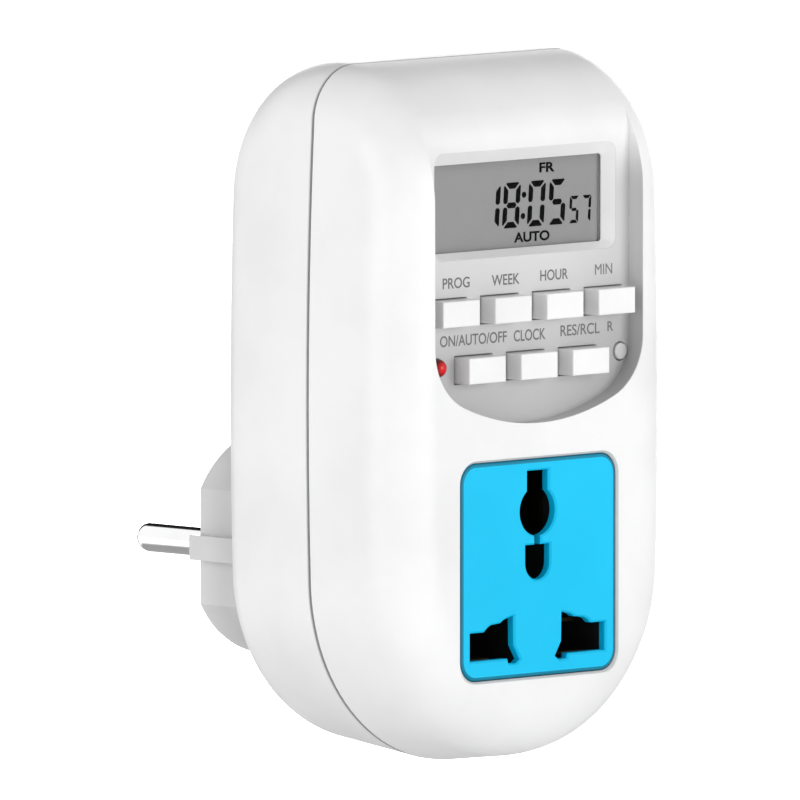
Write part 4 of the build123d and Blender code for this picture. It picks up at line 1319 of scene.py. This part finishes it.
@dataclass
class Studio:
    """Floor, white surroundings, soft lights and the long-lens camera.

    Attributes:
        turn, rise: the camera's place round the object, in degrees.
        lens, sensor: focal length and sensor width in millimetres.
        picture: width of the picture at the object, in millimetres.
        aim: the point in the middle of the picture, in millimetres.
        floor_z: height of the floor in metres.
        floor_size: side of the floor in metres.
        floor_glow: light that the floor gives off under the object, to show white.
        floor_fade: distances in metres between which it grows to plain white.
        floor_tones: its own tone, and its tone as metal mirrors it.
        mirror_far: distances in metres between which metal mirrors it as white.
        mirror_left: the same across, from right to left.
        ambient: strength of the surroundings on the object.
        dark_corner: where the dark corner starts and is full, on each axis of the direction.
        dark_level: how bright the dark corner still is.
        lights: the lamps.
    """

    turn: float = -44.62
    rise: float = 5.009
    lens: float = 1500.0
    sensor: float = 36.0
    picture: float = 129.03
    aim: Vector = field(default_factory=lambda: Vector((-6.157, -36.903, 25.452)))
    floor_z: float = -0.09
    floor_size: float = 6.0
    floor_glow: float = 0.25
    floor_fade: Pair = (0.15, 0.5)
    floor_tones: Pair = (0.95, 0.44)
    mirror_far: Pair = (0.13, 0.19)
    mirror_left: Pair = (0.06, -0.02)
    ambient: float = 0.505
    dark_corner: tuple[Pair, ...] = ((0.0, 0.14), (0.2, 0.4), (0.03, 0.2))
    dark_level: float = 0.01
    lights: tuple[Softbox, ...] = (
        Softbox("front_box", 17.0, 6.0, 3.0),
        Softbox("left_box", -88.0, 8.0, 2.35),
        Softbox("back_box", 130.0, 5.0, 2.75),
    )

    def camera(self) -> None:
        """Adds the camera."""
        data = bpy.data.cameras.new("product_camera")
        data.lens, data.sensor_width = self.lens, self.sensor
        data.clip_start, data.clip_end = 0.1, 100.0
        camera = add_object("product_camera", data)
        back = direction(self.turn, self.rise)
        camera.location = (self.aim + back * (self.lens / self.sensor * self.picture)) * MM
        camera.rotation_euler = (-back).to_track_quat("-Z", "Y").to_euler()
        bpy.context.scene.camera = camera

    def floor_paint(self, sheet: ShaderSheet) -> Inputs:
        """Works out the floor: white to the camera, with a soft shadow under the object.

        Args:
            sheet: the material's sheet.

        Returns:
            Values or output sockets by the shader's inputs.
        """
        path = sheet.add("ShaderNodeLightPath").outputs
        place = sheet.place()
        reach = sheet.length(place, (1.0, 1.0, 0.0))
        seen = sheet.math("MAXIMUM", path["Is Camera Ray"], path["Is Transmission Ray"])
        shown = sheet.product(seen, sheet.span(reach, self.floor_fade, (self.floor_glow, 1.0)))
        left = sheet.span(sheet.split(place)[0], self.mirror_left)
        mirrored = sheet.product(path["Is Glossy Ray"], sheet.span(reach, self.mirror_far), left)
        return {
            "Roughness": 0.9,
            "Base Color": sheet.span(path["Is Glossy Ray"], ALL, self.floor_tones),
            "Emission Color": (1.0, 1.0, 1.0, 1.0),
            "Emission Strength": sheet.math("MAXIMUM", shown, mirrored),
        }

    def floor(self) -> None:
        """Adds the floor."""
        mesh = bpy.data.meshes.new("studio_floor")
        half = self.floor_size / 2
        sides = ((-half, -half), (half, -half), (half, half), (-half, half))
        mesh.from_pydata([(x, y, self.floor_z) for x, y in sides], [], [(0, 1, 2, 3)])
        mesh.materials.append(new_material("studio_floor", self.floor_paint))
        floor = add_object("studio_floor", mesh)

    def surroundings(self) -> None:
        """Sets a white world that lights evenly, with a dark corner for metal to mirror."""
        world = bpy.data.worlds.new("white_room")
        bpy.context.scene.world = world
        world.use_nodes = True
        world.node_tree.nodes.clear()
        sheet = ShaderSheet(world.node_tree)
        path = sheet.add("ShaderNodeLightPath").outputs
        axes = sheet.split(sheet.add("ShaderNodeTexCoord").outputs["Generated"])
        corner = sheet.product(*(sheet.span(axis, ends) for axis, ends in zip(axes, self.dark_corner)))
        mirrored = sheet.span(corner, ALL, (1.0, self.dark_level))
        level = sheet.span(path["Is Glossy Ray"], ALL, (self.ambient, mirrored))
        direct = sheet.math("MAXIMUM", path["Is Camera Ray"], path["Is Transmission Ray"])
        strength = sheet.span(direct, ALL, (level, 1.0))
        sky = sheet.add("ShaderNodeBackground", {"Color": (1.0, 1.0, 1.0, 1.0), "Strength": strength})
        sheet.add("ShaderNodeOutputWorld", {"Surface": sky.outputs[0]})

    def build(self) -> None:
        """Sets up everything round the object."""
        self.camera()
        self.floor()
        self.surroundings()
        for box in self.lights:
            data = bpy.data.lights.new(box.name, "AREA")
            data.energy, data.size = box.power, box.size
            light = add_object(box.name, data)
            away = direction(box.turn, box.rise)
            light.location = self.aim * MM + away * box.distance
            light.rotation_euler = away.to_track_quat("Z", "Y").to_euler()
        bpy.context.scene.view_settings.view_transform = "Standard"
        log.info("studio ready with %d lights", len(self.lights))


def main() -> None:
    """Builds every sub-assembly's looks and the studio."""
    logging.basicConfig(level=logging.INFO, format="%(name)s %(message)s")
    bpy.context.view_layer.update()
    for assembly in (Case, ControlPanel, Display, Outlet, Plug, Electronics):
        assembly().build()
    Studio().build()


if __name__ == "__main__":
    main()
